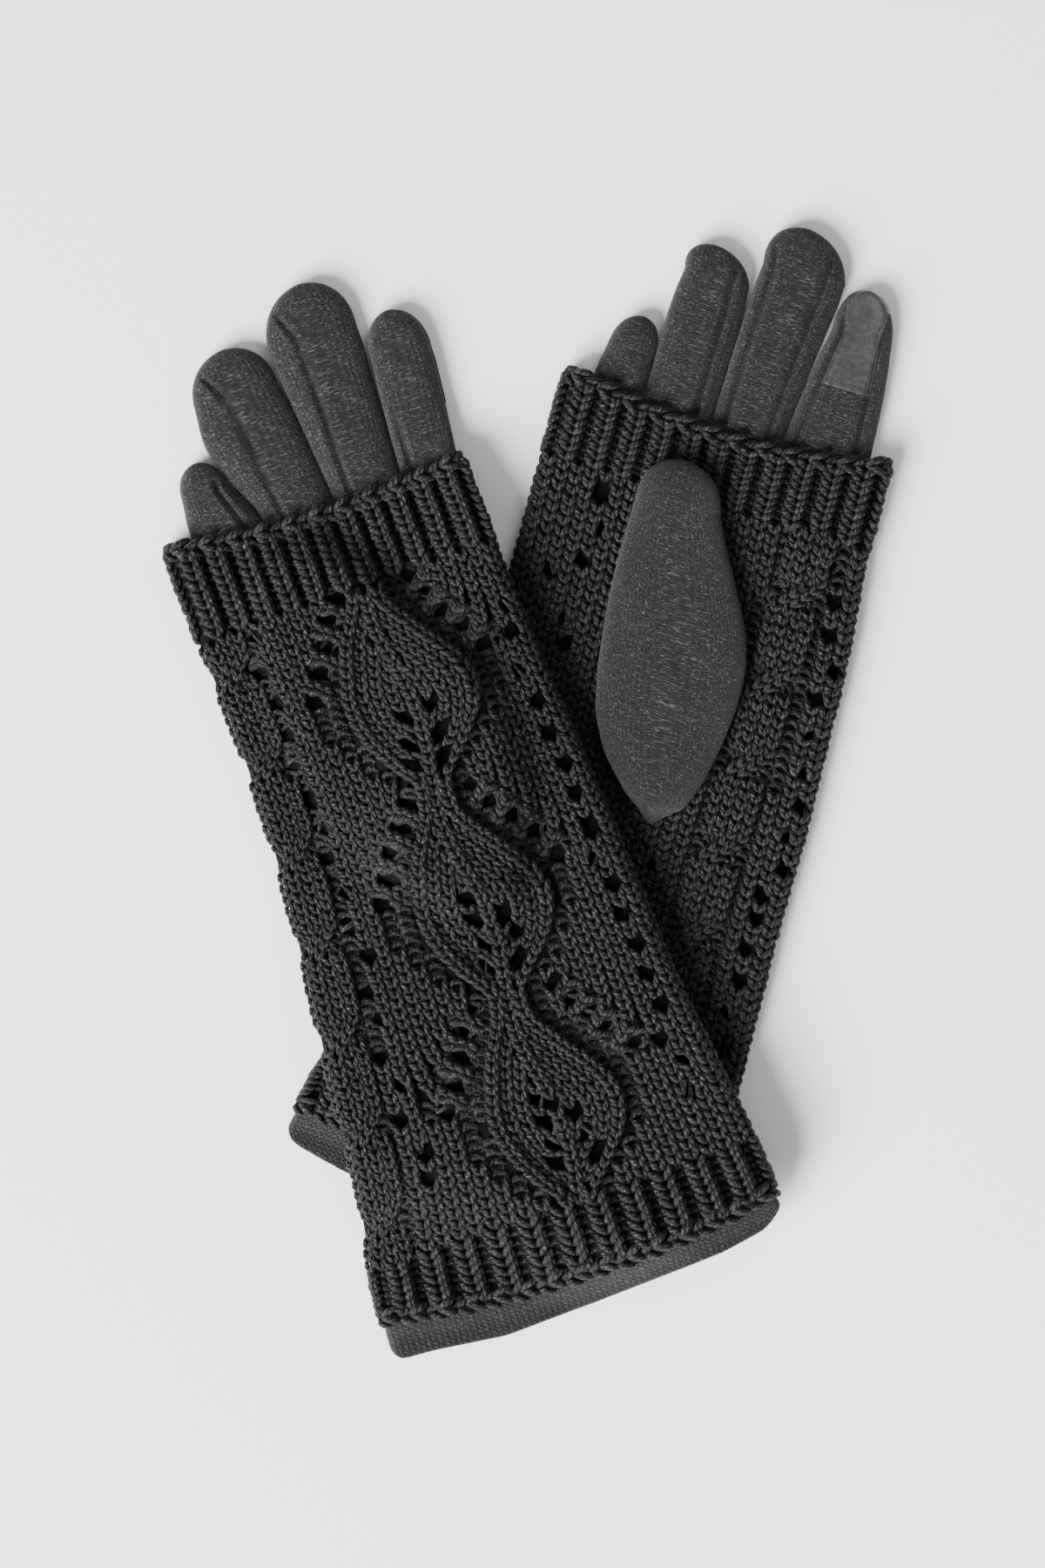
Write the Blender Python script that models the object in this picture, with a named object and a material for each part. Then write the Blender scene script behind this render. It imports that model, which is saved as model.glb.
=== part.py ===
"""A pair of winter gloves laid flat, one across the other.

Each glove is a smooth five-finger inner glove with a long cuff, worn under a fingerless sleeve in lace
knit with ribbed ends. The right glove lies palm up on the table. The left glove lies back up across it.

Each glove is drawn in a plan of its own, in millimetres: u runs across the hand from the little
finger's side to the index finger's side, v runs from the wrist to the fingertips, and z is the height
in the lying stack. Every piece of cloth is a wall between two heights over an outline in that plan.
"""

import math

import bmesh
import bpy
from mathutils import Vector
from mathutils.geometry import delaunay_2d_cdt

MM = 0.001

# Cloth, in millimetres.
KNIT_WALL = 2.2
JERSEY_WALL = 2.2
SEAM_GAP = 0.3
LAYER_GAP = 0.4
INNER_GAP = 0.6

# Heights of the lying stack, from the table up.
SLEEVE_LOW_TOP = KNIT_WALL
GLOVE_LOW = SLEEVE_LOW_TOP + LAYER_GAP
GLOVE_LOW_TOP = GLOVE_LOW + JERSEY_WALL
GLOVE_HIGH = GLOVE_LOW_TOP + INNER_GAP
GLOVE_HIGH_TOP = GLOVE_HIGH + JERSEY_WALL
SLEEVE_HIGH = GLOVE_HIGH_TOP + LAYER_GAP
SLEEVE_HIGH_TOP = SLEEVE_HIGH + KNIT_WALL
MIDDLE = SLEEVE_HIGH_TOP / 2

# Stretches along the sleeve, and the relief of its ribs, leaves and cables.
WRIST_RIB_END = 14.0
HAND_RIB_START = 221.0
WRIST_RIBS = 12
HAND_RIBS = 12
RIB_CREST = 0.9
RIB_VALLEY = -0.5
LEAF_AXIS = 8.4
LEAF_STARTS = (14.5, 83.5, 153.4)
CABLE_AXIS = 33.5
CABLE_PITCH = 28.0
CABLE_START = 18.0
CABLE_REPEATS = 7

# One leaf from its tip at the wrist's side: distance along the leaf, and half its width.
LEAF_ROWS = ((0.0, 2.6), (5.0, 8.5), (13.0, 15.6), (24.0, 20.8), (34.0, 21.0), (44.0, 16.6), (55.0, 7.6))
# Across a leaf, from its outline: distance outside the outline, and height of the knitting there.
LEAF_RELIEF = ((-5.0, 0.4), (-1.0, 1.3), (2.2, -0.5))
LEAF_MIDRIB = 0.9
LEAF_NARROWEST = 1.2
LEAF_REACH = 7.0
# One cable between two crossings.
CABLE_ROWS = ((0.0, 6.0), (9.0, 9.0), (19.0, 9.0))
CABLE_RELIEF = ((-3.5, 1.2), (0.6, -0.4))
CABLE_REACH = 5.0
CABLE_CROSSING = 0.4
CABLE_CROWN = 1.2

# Eyelets: half their width and half their length.
SHOULDER_EYELET = (2.7, 2.9)
COLUMN_EYELET = (2.2, 2.5)
MIDRIB_SLIT = (1.4, 2.7)
MIDRIB_LEAN = 1.2
# Rows of eyelets: how many, where the first lies from the leaf's tip and axis, and the step to the next.
SHOULDER_COUNT, SHOULDER_FIRST, SHOULDER_STEP = 5, (11.5, 66.5), (4.5, -7.1)
MIDRIB_COUNT, MIDRIB_FIRST, MIDRIB_STEP = 3, (5.4, 12.5), (-0.7, 7.0)
EYELETS_END = HAND_RIB_START - 4.0
# The two columns on the back: first v, step, how many, and each side's u, drift a millimetre and last v.
COLUMN_START, COLUMN_STEP, COLUMN_COUNT, COLUMN_SWAY = 34.0, 11.8, 16, 1.6
COLUMN_LEFT = (-37.4, 0.024, 215.0)
COLUMN_RIGHT = (51.4, -0.027, 200.0)
# The two columns on the palm, with few eyelets where they are hidden.
PALM_START, PALM_SWAY = 40.0, 2.4
PALM_LEFT, PALM_RIGHT, PALM_DRIFT = -36.0, 51.6, -0.02
PALM_SEEN = (15, 12.0)
PALM_HIDDEN = (8, 24.0)

# Sides of the lying sleeve: how the stack closes towards a fold, from the fold inwards.
FOLD_TAPER = ((0.0, 0.45), (1.6, 0.76), (3.0, 0.9), (7.0, 1.0))
GLOVE_TAPER = ((0.0, 0.6), (4.0, 1.0))
FOLD_SEAM_REACH = 1.6
GLOVE_INSET = 3.4
CUFF_INSET = 1.6
CUFF_FLARE = 0.45

# Rows along each sleeve: v, left fold, right fold.
LEFT_SLEEVE = (
    (-12.0, -69.0, 67.8), (14.0, -66.0, 66.0), (42.0, -60.3, 62.8), (70.0, -58.0, 59.4),
    (98.0, -54.8, 58.0), (126.0, -52.4, 56.6), (154.0, -50.4, 54.6), (182.0, -49.8, 52.4),
    (221.0, -51.2, 50.4), (256.0, -52.0, 49.6),
)
RIGHT_SLEEVE = (
    (-12.0, -75.0, 62.2), (14.0, -69.5, 62.8), (42.0, -62.5, 62.4), (70.0, -58.5, 61.0),
    (98.0, -57.0, 59.6), (126.0, -56.4, 59.3), (154.0, -56.6, 57.6), (182.0, -57.3, 56.2),
    (221.0, -58.6, 51.6), (256.0, -59.4, 50.4),
)

# The inner glove's lower end: share of its width from the left side, and v there.
LEFT_CUFF = (
    (0.0, -6.0), (0.005, -13.6), (0.02, -16.2), (0.11, -17.0), (0.28, -20.2), (0.5, -19.4), (0.72, -17.6),
    (0.83, -16.8), (0.94, -14.6), (0.99, -11.2), (1.0, -6.0),
)
RIGHT_CUFF = (
    (0.0, -5.5), (0.005, -12.0), (0.075, -14.8), (0.18, -17.8), (0.4, -18.6), (0.6, -18.0), (0.85, -15.6),
    (0.97, -11.6), (1.0, -4.5),
)

# Fingers: rows of v, left edge, left seam, right seam, right edge, and then the tip's u and v.
LEFT_FINGERS = (
    (((246.0, -41.2, -41.2, -22.6, -16.9), (256.0, -41.4, -41.4, -25.2, -19.3),
      (266.0, -40.4, -40.4, -28.8, -24.8)), (-32.6, 276.0)),
    (((246.0, -16.2, -10.8, 3.4, 5.7), (256.0, -18.5, -11.8, 2.8, 5.1), (266.0, -23.8, -13.2, 1.8, 4.2),
      (271.0, -24.6, -13.8, 1.4, 3.8), (278.0, -27.8, -14.6, 0.8, 3.2), (292.0, -27.0, -16.4, -1.6, 1.0)),
     (-12.2, 307.4)),
    (((246.0, 6.3, 11.2, 25.4, 27.9), (272.0, 3.9, 11.6, 27.0, 29.4),
      (302.0, 1.6, 11.4, 28.6, 31.2)), (17.6, 319.2)),
    (((246.0, 28.5, 32.4, 46.8, 46.8), (266.0, 29.8, 33.0, 49.2, 49.2),
      (288.0, 31.7, 33.4, 51.4, 51.4)), (41.6, 302.0)),
)
RIGHT_FINGERS = (
    (((243.0, -49.8, -49.8, -34.4, -32.4), (262.0, -48.0, -48.0, -35.2, -32.8)), (-39.6, 272.0)),
    (((243.0, -31.8, -29.0, -14.6, -9.3), (278.0, -32.4, -29.8, -14.8, -9.4),
      (291.0, -31.6, -29.2, -15.4, -10.0)), (-24.0, 300.6)),
    (((243.0, -8.7, -4.5, 11.6, 13.9), (272.0, -8.7, -4.6, 13.6, 16.4),
      (300.0, -8.0, -4.2, 16.6, 19.4)), (2.6, 314.2)),
    (((243.0, 14.5, 17.1, 43.4, 43.4), (268.0, 17.0, 21.0, 41.6, 41.6),
      (286.0, 19.4, 21.4, 39.2, 39.2)), (27.6, 301.0)),
)
CROTCH_DEPTH = 5.0
FOURCHETTE_REACH = 3.0
TIP_STEPS = (0.45, 0.8, 0.96)
# Outline points are kept about this far apart where two curves meet.
POINT_STEP = 0.5
FINGER_TOP = 8.2
DOME = ((0.0, 0.0), (1.4, 0.55), (7.0, 1.0))
EDGE_WALL = 1.7
LOW_EDGE_INSET = 0.8
PATCH_START = 268.0

# Past a rim the inner glove comes down from the stack to the table: where it starts, and over what run.
STEP_START = 0.4
STEP_DOWN = 8.0
INSIDE_RIM = 1.0
# How far below the rim the knuckle side ends, and how far along a tip its seams meet the edge.
KNUCKLES = 15.0
SEAM_END = 0.72
# Near its sides the upper wall thins to this share, and comes this near to the lower one.
SIDE_WALL = 0.8
SIDE_GAP = SEAM_GAP + 0.1

# The thumb: rows of v, left edge, right edge, and the tip.
THUMB_ROWS = (
    (118.0, 5.5, 13.5), (125.5, -2.0, 19.2), (134.0, -10.8, 22.0), (146.0, -17.6, 24.2),
    (160.0, -21.0, 25.5), (172.0, -22.8, 25.0), (184.0, -24.2, 21.4), (196.0, -25.0, 14.6),
    (216.0, -25.2, 2.8),
)
THUMB_TIP = (-13.0, 231.2)
THUMB_NARROW_INSET = 3.0
THUMB_WALL = 2.2
THUMB_TOP = 6.6
THUMB_EDGE = 4.2
THUMB_OPENING_CENTRE = (11.0, 137.0)
THUMB_OPENING_HALF = (8.0, 12.5)
OPENING_STEPS = 12
THUMB_ROOT_GAP = 0.2
THUMB_ROOT_SCALE = 0.62
THUMB_SHOULDER_SCALE = 0.92
THUMB_RISE = ((205.0, 0.0), (HAND_RIB_START, RIB_CREST))
THUMB_LIFT = THUMB_TOP + LAYER_GAP
THUMB_LIFT_RUN = ((0.0, 1.0), (5.0, 0.78), (15.0, 0.0))

# A simple convex outline round the thumb, anticlockwise, that the cloth over it climbs from.
THUMB_HULL = [(4.0, 117.0), (14.5, 117.0), (26.2, 146.0), (26.2, 173.0), (4.0, 219.0), (-8.0, 232.4),
              (-18.0, 232.4), (-26.0, 221.0), (-26.0, 190.0), (-22.0, 152.0)]

# The left glove climbs over the right one: distance outside the right sleeve, and share of the climb.
CLIMB_HEIGHT = 12.2
CLIMB_RUN = ((0.0, 1.0), (9.0, 0.84), (25.0, 0.16), (36.0, 0.0))
UNDER_SIDE_U = -58.6
UNDER_KNEE_V = 68.0
UNDER_CORNER = (-75.5, -4.0)
UNDER_RIM_V = -7.5
UNDER_FAR_U = 120.0
UNDER_FAR_V = 300.0

# Places of the two gloves on the table: the turn of the plan, and where its origin lies.
LEFT_TURN, LEFT_ORIGIN = math.radians(19.3), Vector((16.8, -147.0))
RIGHT_TURN, RIGHT_ORIGIN = math.radians(-17.0), Vector((-2.8, -121.8))


def clear_scene():
    for item in list(bpy.data.objects):
        bpy.data.objects.remove(item)


def table_at(rows, where, column=1):
    """The value of one column at a place along the table, straight between its rows."""
    if where <= rows[0][0]:
        return rows[0][column]
    for low, high in zip(rows, rows[1:]):
        if where <= high[0]:
            share = (where - low[0]) / (high[0] - low[0])
            return low[column] + share * (high[column] - low[column])
    return rows[-1][column]


def inside(point, polygon):
    """True where a plan point lies inside a closed outline."""
    u, v = point
    found = False
    for (u0, v0), (u1, v1) in zip(polygon, polygon[1:] + polygon[:1]):
        if (v0 > v) != (v1 > v) and u < u0 + (v - v0) / (v1 - v0) * (u1 - u0):
            found = not found
    return found


def outside_distance(point, polygon):
    """How far a plan point lies outside a convex outline that runs anticlockwise, with square corners."""
    distances = []
    for (u0, v0), (u1, v1) in zip(polygon, polygon[1:] + polygon[:1]):
        run = math.hypot(u1 - u0, v1 - v0)
        distances.append(((point[0] - u0) * (v1 - v0) - (point[1] - v0) * (u1 - u0)) / run)
    return max(distances)


def meeting(first, second):
    """Where two lines meet, each given as (normal u, normal v, distance)."""
    a, b, c = first
    d, e, f = second
    bottom = a * e - b * d
    return ((c * e - b * f) / bottom, (a * f - c * d) / bottom)


def side_line(start, end, offset):
    """The line through two points moved to the right of its run, as (normal u, normal v, distance)."""
    run = math.hypot(end[0] - start[0], end[1] - start[1])
    normal = ((end[1] - start[1]) / run, (start[0] - end[0]) / run)
    return (*normal, normal[0] * start[0] + normal[1] * start[1] + offset)


def grown(polygon, offset):
    """A convex anticlockwise outline with every side moved outwards."""
    lines = [side_line(a, b, offset) for a, b in zip(polygon, polygon[1:] + polygon[:1])]
    return [meeting(a, b) for a, b in zip(lines[-1:] + lines[:-1], lines)]


def make_material(name, colour, roughness):
    material = bpy.data.materials.new(name)
    material.use_nodes = True
    shader = material.node_tree.nodes["Principled BSDF"]
    shader.inputs["Base Color"].default_value = (*colour, 1.0)
    shader.inputs["Roughness"].default_value = roughness
    shader.inputs["Metallic"].default_value = 0.0
    material.diffuse_color = (*colour, 1.0)
    return material


def build_panel(name, outline, guides, holes, low, high, place, material):
    """A wall of cloth over an outline, between two heights, with holes cut through and guide lines kept."""
    points, edges = [], []
    rings = [(outline, True)] + [(hole, True) for hole in holes] + [(guide, False) for guide in guides]
    for ring, closed in rings:
        start = len(points)
        points.extend(Vector(point) for point in ring)
        count = len(ring)
        edges.extend((start + i, start + (i + 1) % count) for i in range(count if closed else count - 1))
    flat_points, _, faces, *_ = delaunay_2d_cdt(points, edges, [], 0, 1e-3)
    mesh = bmesh.new()
    verts = [mesh.verts.new((point.x, point.y, 0.0)) for point in flat_points]
    for face in faces:
        middle = sum((flat_points[i] for i in face), Vector((0.0, 0.0))) / len(face)
        if inside(middle, outline) and not any(inside(middle, hole) for hole in holes):
            mesh.faces.new([verts[i] for i in face])
    bmesh.ops.delete(mesh, geom=[vert for vert in mesh.verts if not vert.link_faces], context="VERTS")
    extruded = bmesh.ops.extrude_face_region(mesh, geom=mesh.faces[:])
    raised = {item for item in extruded["geom"] if isinstance(item, bmesh.types.BMVert)}
    for vert in mesh.verts:
        u, v = vert.co.x, vert.co.y
        vert.co = place(u, v, high(u, v) if vert in raised else low(u, v))
    bmesh.ops.recalc_face_normals(mesh, faces=mesh.faces[:])
    data = bpy.data.meshes.new(name)
    mesh.to_mesh(data)
    mesh.free()
    data.materials.append(material)
    piece = bpy.data.objects.new(name, data)
    bpy.context.scene.collection.objects.link(piece)
    return piece


def diamond(u, v, half, lean=0.0):
    """An eyelet's outline: half its width and length, with its ends leaned sideways."""
    return [(u - half[0], v), (u - lean, v - half[1]), (u + half[0], v), (u + lean, v + half[1])]


def leaf_half_width(v):
    """Half the width of the leaf at a row, down to its narrow stem between two leaves."""
    for start in LEAF_STARTS:
        if start <= v < start + LEAF_ROWS[-1][0]:
            return table_at(LEAF_ROWS, v - start)
    return LEAF_ROWS[0][1]


def leaf_lines():
    """Lines along the leaves: the midrib, and each step of the relief on either side."""
    rows = [start + row[0] for start in LEAF_STARTS for row in LEAF_ROWS]
    rows.append(EYELETS_END)
    lines = [[(LEAF_AXIS, v) for v in rows]]
    for offset, _ in LEAF_RELIEF:
        for side in (-1, 1):
            wide = [v for v in rows if leaf_half_width(v) + offset > LEAF_NARROWEST]
            line = []
            for v in rows:
                if v in wide:
                    line.append((LEAF_AXIS + side * (leaf_half_width(v) + offset), v))
                elif len(line) > 1:
                    lines.append(line)
                    line = []
            if len(line) > 1:
                lines.append(line)
    return lines


def leaf_relief(u, v):
    """Height of the knitting over the plain wall on the side that shows the leaves."""
    half = leaf_half_width(v)
    knots = [(0.0, LEAF_MIDRIB)]
    knots.extend((half + offset, height) for offset, height in LEAF_RELIEF if half + offset > LEAF_NARROWEST)
    knots.append((half + LEAF_REACH, 0.0))
    return table_at(knots, abs(u - LEAF_AXIS))


def leaf_eyelets(with_columns):
    """The eyelets round the leaves: the shoulder rows, the midrib slits and the two side columns."""
    holes = []
    for start in LEAF_STARTS:
        for side in (-1, 1):
            for step in range(SHOULDER_COUNT):
                offset = SHOULDER_FIRST[0] + SHOULDER_STEP[0] * step
                v = start + SHOULDER_FIRST[1] + SHOULDER_STEP[1] * step
                if v < EYELETS_END:
                    holes.append(diamond(LEAF_AXIS + side * offset, v, SHOULDER_EYELET))
            for step in range(MIDRIB_COUNT if with_columns else 0):
                offset = MIDRIB_FIRST[0] + MIDRIB_STEP[0] * step
                v = start + MIDRIB_FIRST[1] + MIDRIB_STEP[1] * step
                holes.append(diamond(LEAF_AXIS + side * offset, v, MIDRIB_SLIT, side * MIDRIB_LEAN))
    for step in range(COLUMN_COUNT if with_columns else 0):
        v = COLUMN_START + COLUMN_STEP * step
        for (first_u, drift, last_v), side in ((COLUMN_LEFT, 1), (COLUMN_RIGHT, -1)):
            if v < last_v:
                u = first_u + drift * v + side * COLUMN_SWAY * (step % 2)
                holes.append(diamond(u, v, COLUMN_EYELET))
    return holes


def cable_half_width(v):
    return table_at(CABLE_ROWS + ((CABLE_PITCH, CABLE_ROWS[0][1]),), (v - CABLE_START) % CABLE_PITCH)


def cable_crown(v):
    """Height of a cable's middle, which dips where its strands cross."""
    rows = ((0.0, CABLE_CROSSING), (CABLE_ROWS[1][0], CABLE_CROWN), (CABLE_ROWS[2][0], CABLE_CROWN))
    return table_at(rows + ((CABLE_PITCH, CABLE_CROSSING),), (v - CABLE_START) % CABLE_PITCH)


def cable_lines():
    rows = [CABLE_START + CABLE_PITCH * i + row[0] for i in range(CABLE_REPEATS) for row in CABLE_ROWS]
    lines = [[(CABLE_AXIS, v) for v in rows]]
    for offset, _ in CABLE_RELIEF:
        for side in (-1, 1):
            lines.append([(CABLE_AXIS + side * (cable_half_width(v) + offset), v) for v in rows])
    return lines


def cable_relief(u, v):
    """Height of the knitting over the plain wall on the side that shows the cable."""
    half, crown = cable_half_width(v), cable_crown(v)
    knots = [(0.0, crown)]
    knots.extend((half + offset, height * (crown if height > 0 else 1.0)) for offset, height in CABLE_RELIEF)
    knots.append((half + CABLE_REACH, 0.0))
    return table_at(knots, abs(u - CABLE_AXIS))


def palm_eyelets(count, step_v):
    """The two columns of eyelets on the palm side."""
    holes = []
    for step in range(count):
        v = PALM_START + step_v * step
        sway = PALM_SWAY * (step % 2)
        holes.append(diamond(PALM_LEFT - sway, v, COLUMN_EYELET))
        holes.append(diamond(PALM_RIGHT + PALM_DRIFT * v - sway, v, COLUMN_EYELET))
    return holes


class Glove:
    """One glove lying flat: its plan, its place on the table and the pieces it is made of."""

    def __init__(self, side, sleeve, fingers, palm_up, turn, origin, rims, cuff):
        self.side = side
        self.sleeve = sleeve
        self.fingers = fingers
        self.palm_up = palm_up
        self.turn = turn
        self.origin = origin
        self.top_rim, self.bottom_rim = rims
        self.cuff = cuff
        self.crotch = min(self.top_rim) - CROTCH_DEPTH

    # ---- plan ----

    def fold(self, v, column):
        return table_at(self.sleeve, v, column)

    def rim(self, u, rows):
        """The v of a rim across the sleeve, a curve through its left, middle and right heights."""
        left, middle, right = rows
        share = u / (self.fold(middle, 2) if u > 0 else -self.fold(middle, 1))
        return middle + ((right if u > 0 else left) - middle) * share * share

    def fold_distance(self, u, v):
        return min(u - self.fold(v, 1), self.fold(v, 2) - u)

    def glove_edge(self, v, column):
        """Side of the inner glove: inside the sleeve's fold, and a little wider in the cuff below it."""
        rim = self.bottom_rim[0 if column == 1 else 2]
        inset = GLOVE_INSET if v > rim else max(CUFF_INSET, GLOVE_INSET + (v - rim) * CUFF_FLARE)
        return self.fold(v, column) + (inset if column == 1 else -inset)

    def folds_between(self, low, high, inset):
        """The two side lines of a stretch of sleeve, moved inwards, as lists of plan points."""
        rows = [low] + [row[0] for row in self.sleeve if low + 1.0 < row[0] < high - 1.0] + [high]
        left = [(self.fold(v, 1) + inset, v) for v in rows]
        right = [(self.fold(v, 2) - inset, v) for v in rows]
        return left, right

    # ---- the lie of the cloth ----

    def lift(self, u, v):
        """How far the cloth is raised at a plan point by what lies under it."""
        if self.palm_up:
            return 0.0
        climb = CLIMB_HEIGHT * table_at(CLIMB_RUN, under_distance(self.to_table(u, v)))
        thumb = THUMB_LIFT * table_at(THUMB_LIFT_RUN, outside_distance((u, v), THUMB_HULL))
        return climb + thumb

    def lie_lines(self):
        """Plan lines along which the raised cloth bends."""
        if self.palm_up:
            return []
        lines = []
        climbs = [[self.to_plan(point) for point in under_line(distance)] for distance, _ in CLIMB_RUN]
        rings = [grown(THUMB_HULL, distance) for distance, _ in THUMB_LIFT_RUN]
        lines.extend(climbs)
        lines.extend([climbs[0][corner], climbs[-1][corner]] for corner in (1, 2))
        lines.extend(ring + ring[:1] for ring in rings)
        lines.extend([near, far] for near, far in zip(rings[0], rings[-1]))
        return lines

    def to_table(self, u, v):
        cosine, sine = math.cos(self.turn), math.sin(self.turn)
        return Vector((u * cosine - v * sine, u * sine + v * cosine)) + self.origin

    def to_plan(self, point):
        cosine, sine = math.cos(self.turn), math.sin(self.turn)
        across, along = Vector(point) - self.origin
        return (across * cosine + along * sine, along * cosine - across * sine)

    def place(self, u, v, z):
        across, along = self.to_table(u, v)
        return Vector((across, along, z + self.lift(u, v))) * MM

    def place_under(self, u, v, z):
        """As place, for the thumb that lies under everything else of its glove."""
        across, along = self.to_table(u, v)
        return Vector((across, along, z + self.lift(u, v) - THUMB_LIFT)) * MM

    # ---- the sleeve ----

    def squeezed(self, z, u, v):
        return MIDDLE + (z - MIDDLE) * table_at(FOLD_TAPER, self.fold_distance(u, v))

    def sleeve_half(self, upper, relief):
        """The two heights of a sleeve half, the lower one first."""
        side = 1 if upper else -1
        outer_level = SLEEVE_HIGH_TOP if upper else 0.0
        inner_level = SLEEVE_HIGH if upper else SLEEVE_LOW_TOP

        def outer(u, v):
            return self.squeezed(outer_level + side * relief(u, v), u, v)

        def inner(u, v):
            distance = self.fold_distance(u, v)
            seam = MIDDLE + side * SEAM_GAP / 2
            if distance <= FOLD_SEAM_REACH + 0.01:
                return seam
            return self.squeezed(inner_level, u, v)

        return (inner, outer) if upper else (outer, inner)

    def build_sleeve(self, material):
        for upper in (True, False):
            face = "palm" if upper == self.palm_up else "back"
            self.build_rib(f"{self.side}_sleeve_hand_rib_{face}", upper, True, material)
            self.build_lace(f"{self.side}_sleeve_lace_{face}", upper, face, material)
            self.build_rib(f"{self.side}_sleeve_wrist_rib_{face}", upper, False, material)

    def taper_lines(self, low, high):
        lines = []
        for distance, _ in FOLD_TAPER[1:]:
            lines.extend(self.folds_between(low, high, distance))
        return lines

    def build_rib(self, name, upper, at_hand, material):
        """A ribbed band: crests and valleys run from the lace to the scalloped rim."""
        ribs = HAND_RIBS if at_hand else WRIST_RIBS
        steps = 2 * ribs if upper else 4
        seam = HAND_RIB_START + SEAM_GAP if at_hand else WRIST_RIB_END - SEAM_GAP
        rim_rows = self.top_rim if at_hand else self.bottom_rim
        rim_ends, seam_ends, guides = [], [], []
        for step in range(steps + 1):
            share = step / steps
            seam_u = self.fold(seam, 1) + share * (self.fold(seam, 2) - self.fold(seam, 1))
            rim_v = rim_rows[1]
            for _ in range(3):
                rim_u = self.fold(rim_v, 1) + share * (self.fold(rim_v, 2) - self.fold(rim_v, 1))
                rim_v = self.rim(rim_u, rim_rows)
            seam_ends.append((seam_u, seam))
            rim_ends.append((rim_u, rim_v))
            if 0 < step < steps:
                guides.append([seam_ends[-1], rim_ends[-1]])
        outline = seam_ends + rim_ends[::-1]
        if not at_hand:
            outline.reverse()

        def relief(u, v):
            if not upper:
                return 0.0
            left, right = self.fold(v, 1), self.fold(v, 2)
            phase = (u - left) / (right - left) * ribs
            return RIB_VALLEY + (RIB_CREST - RIB_VALLEY) * (1.0 - abs(2.0 * (phase % 1.0) - 1.0))

        low, high = self.sleeve_half(upper, relief)
        ends = sorted((seam, max(rim_rows) if at_hand else min(rim_rows)))
        guides.extend(self.taper_lines(*ends))
        guides.extend(self.lie_lines())
        build_panel(name, outline, guides, [], low, high, self.place, material)

    def build_lace(self, name, upper, face, material):
        """The lace stretch of one half, with its eyelets cut through and its motifs raised where they show."""
        low_v, high_v = WRIST_RIB_END, HAND_RIB_START
        left, right = self.folds_between(low_v, high_v, 0.0)
        outline = left[::-1] + right
        guides = self.taper_lines(low_v, high_v) + self.lie_lines()

        def flat(u, v):
            return 0.0

        if face == "back":
            holes = leaf_eyelets(upper)
            relief = leaf_relief if upper else flat
            guides.extend(leaf_lines() if upper else [])
        else:
            holes = palm_eyelets(*(PALM_SEEN if upper else PALM_HIDDEN))
            relief = cable_relief if upper else flat
            guides.extend(cable_lines() if upper else [])
            holes.append(opening_ring(1.0))
        low, high = self.sleeve_half(upper, relief)
        build_panel(name, outline, guides, holes, low, high, self.place, material)

    # ---- the inner glove ----

    def finger_edges(self, finger, inset=0.0):
        """Left edge from the base up, round the tip and down the right edge, as plan points."""
        rows, tip = finger
        left, right = [], []
        for v, first, _, _, last in rows:
            left.append((first + inset, v))
            right.append((last - inset, v))
        last_v, centre, half = self.tip_frame(finger)
        for step in TIP_STEPS:
            v = last_v + (tip[1] - inset - last_v) * step
            width = (half - inset) * math.sqrt(1.0 - step * step)
            middle = centre + (tip[0] - centre) * step
            left.append((middle - width, v))
            right.append((middle + width, v))
        return left + [(tip[0], tip[1] - inset)] + right[::-1]

    def tip_frame(self, finger):
        rows, _ = finger
        last = rows[-1]
        return last[0], (last[1] + last[4]) / 2, (last[4] - last[1]) / 2

    def finger_span(self, finger, v):
        """Left and right edge of a finger at a row, also in its round tip."""
        rows, tip = finger
        last_v, centre, half = self.tip_frame(finger)
        if v <= last_v:
            return table_at(rows, v, 1), table_at(rows, v, 4)
        share = min(1.0, (v - last_v) / (tip[1] - last_v))
        width = half * math.sqrt(max(0.0, 1.0 - share * share))
        middle = centre + (tip[0] - centre) * share
        return middle - width, middle + width

    def seam_line(self, finger, column):
        """A seam along a finger from its base to where it meets the round tip."""
        rows, tip = finger
        points = [(row[column], row[0]) for row in rows]
        last_v = rows[-1][0]
        reach = last_v + (tip[1] - last_v) * SEAM_END
        span = self.finger_span(finger, reach)
        end = span[0] if column == 2 else span[1]
        points.append((end, reach))
        return points

    def finger_of(self, u, v):
        """The finger whose edges lie nearest round a plan point."""
        def miss(finger):
            left, right = self.finger_span(finger, v)
            return max(left - u, u - right)
        reaching = [finger for finger in self.fingers if v <= finger[1][1] + POINT_STEP]
        return min(reaching or self.fingers, key=miss)

    def beyond_rim(self, u, v):
        """How far a plan point lies beyond the sleeve's rims, towards the fingers or the cuff's end."""
        return max(v - self.rim(u, self.top_rim), self.rim(u, self.bottom_rim) - v)

    def sink(self, u, v):
        """Share of the way that the inner glove has come down from the stack to the table."""
        return min(1.0, max(0.0, (self.beyond_rim(u, v) - STEP_START) / STEP_DOWN))

    def lower_heights(self):
        """Underside and top of the inner glove's lower wall."""
        def shifted(level, u, v):
            taper = table_at(GLOVE_TAPER, self.glove_distance(u, v))
            raised = MIDDLE + (level - MIDDLE) * taper
            return raised - GLOVE_LOW * self.sink(u, v) * (1.0 if v > self.top_rim[1] else taper)

        def low(u, v):
            return max(0.0, shifted(GLOVE_LOW, u, v))

        def high(u, v):
            return shifted(GLOVE_LOW_TOP, u, v)

        return low, high

    def glove_distance(self, u, v):
        if v > self.crotch - FOURCHETTE_REACH:
            return GLOVE_TAPER[-1][0]
        return min(u - self.glove_edge(v, 1), self.glove_edge(v, 2) - u)

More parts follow.
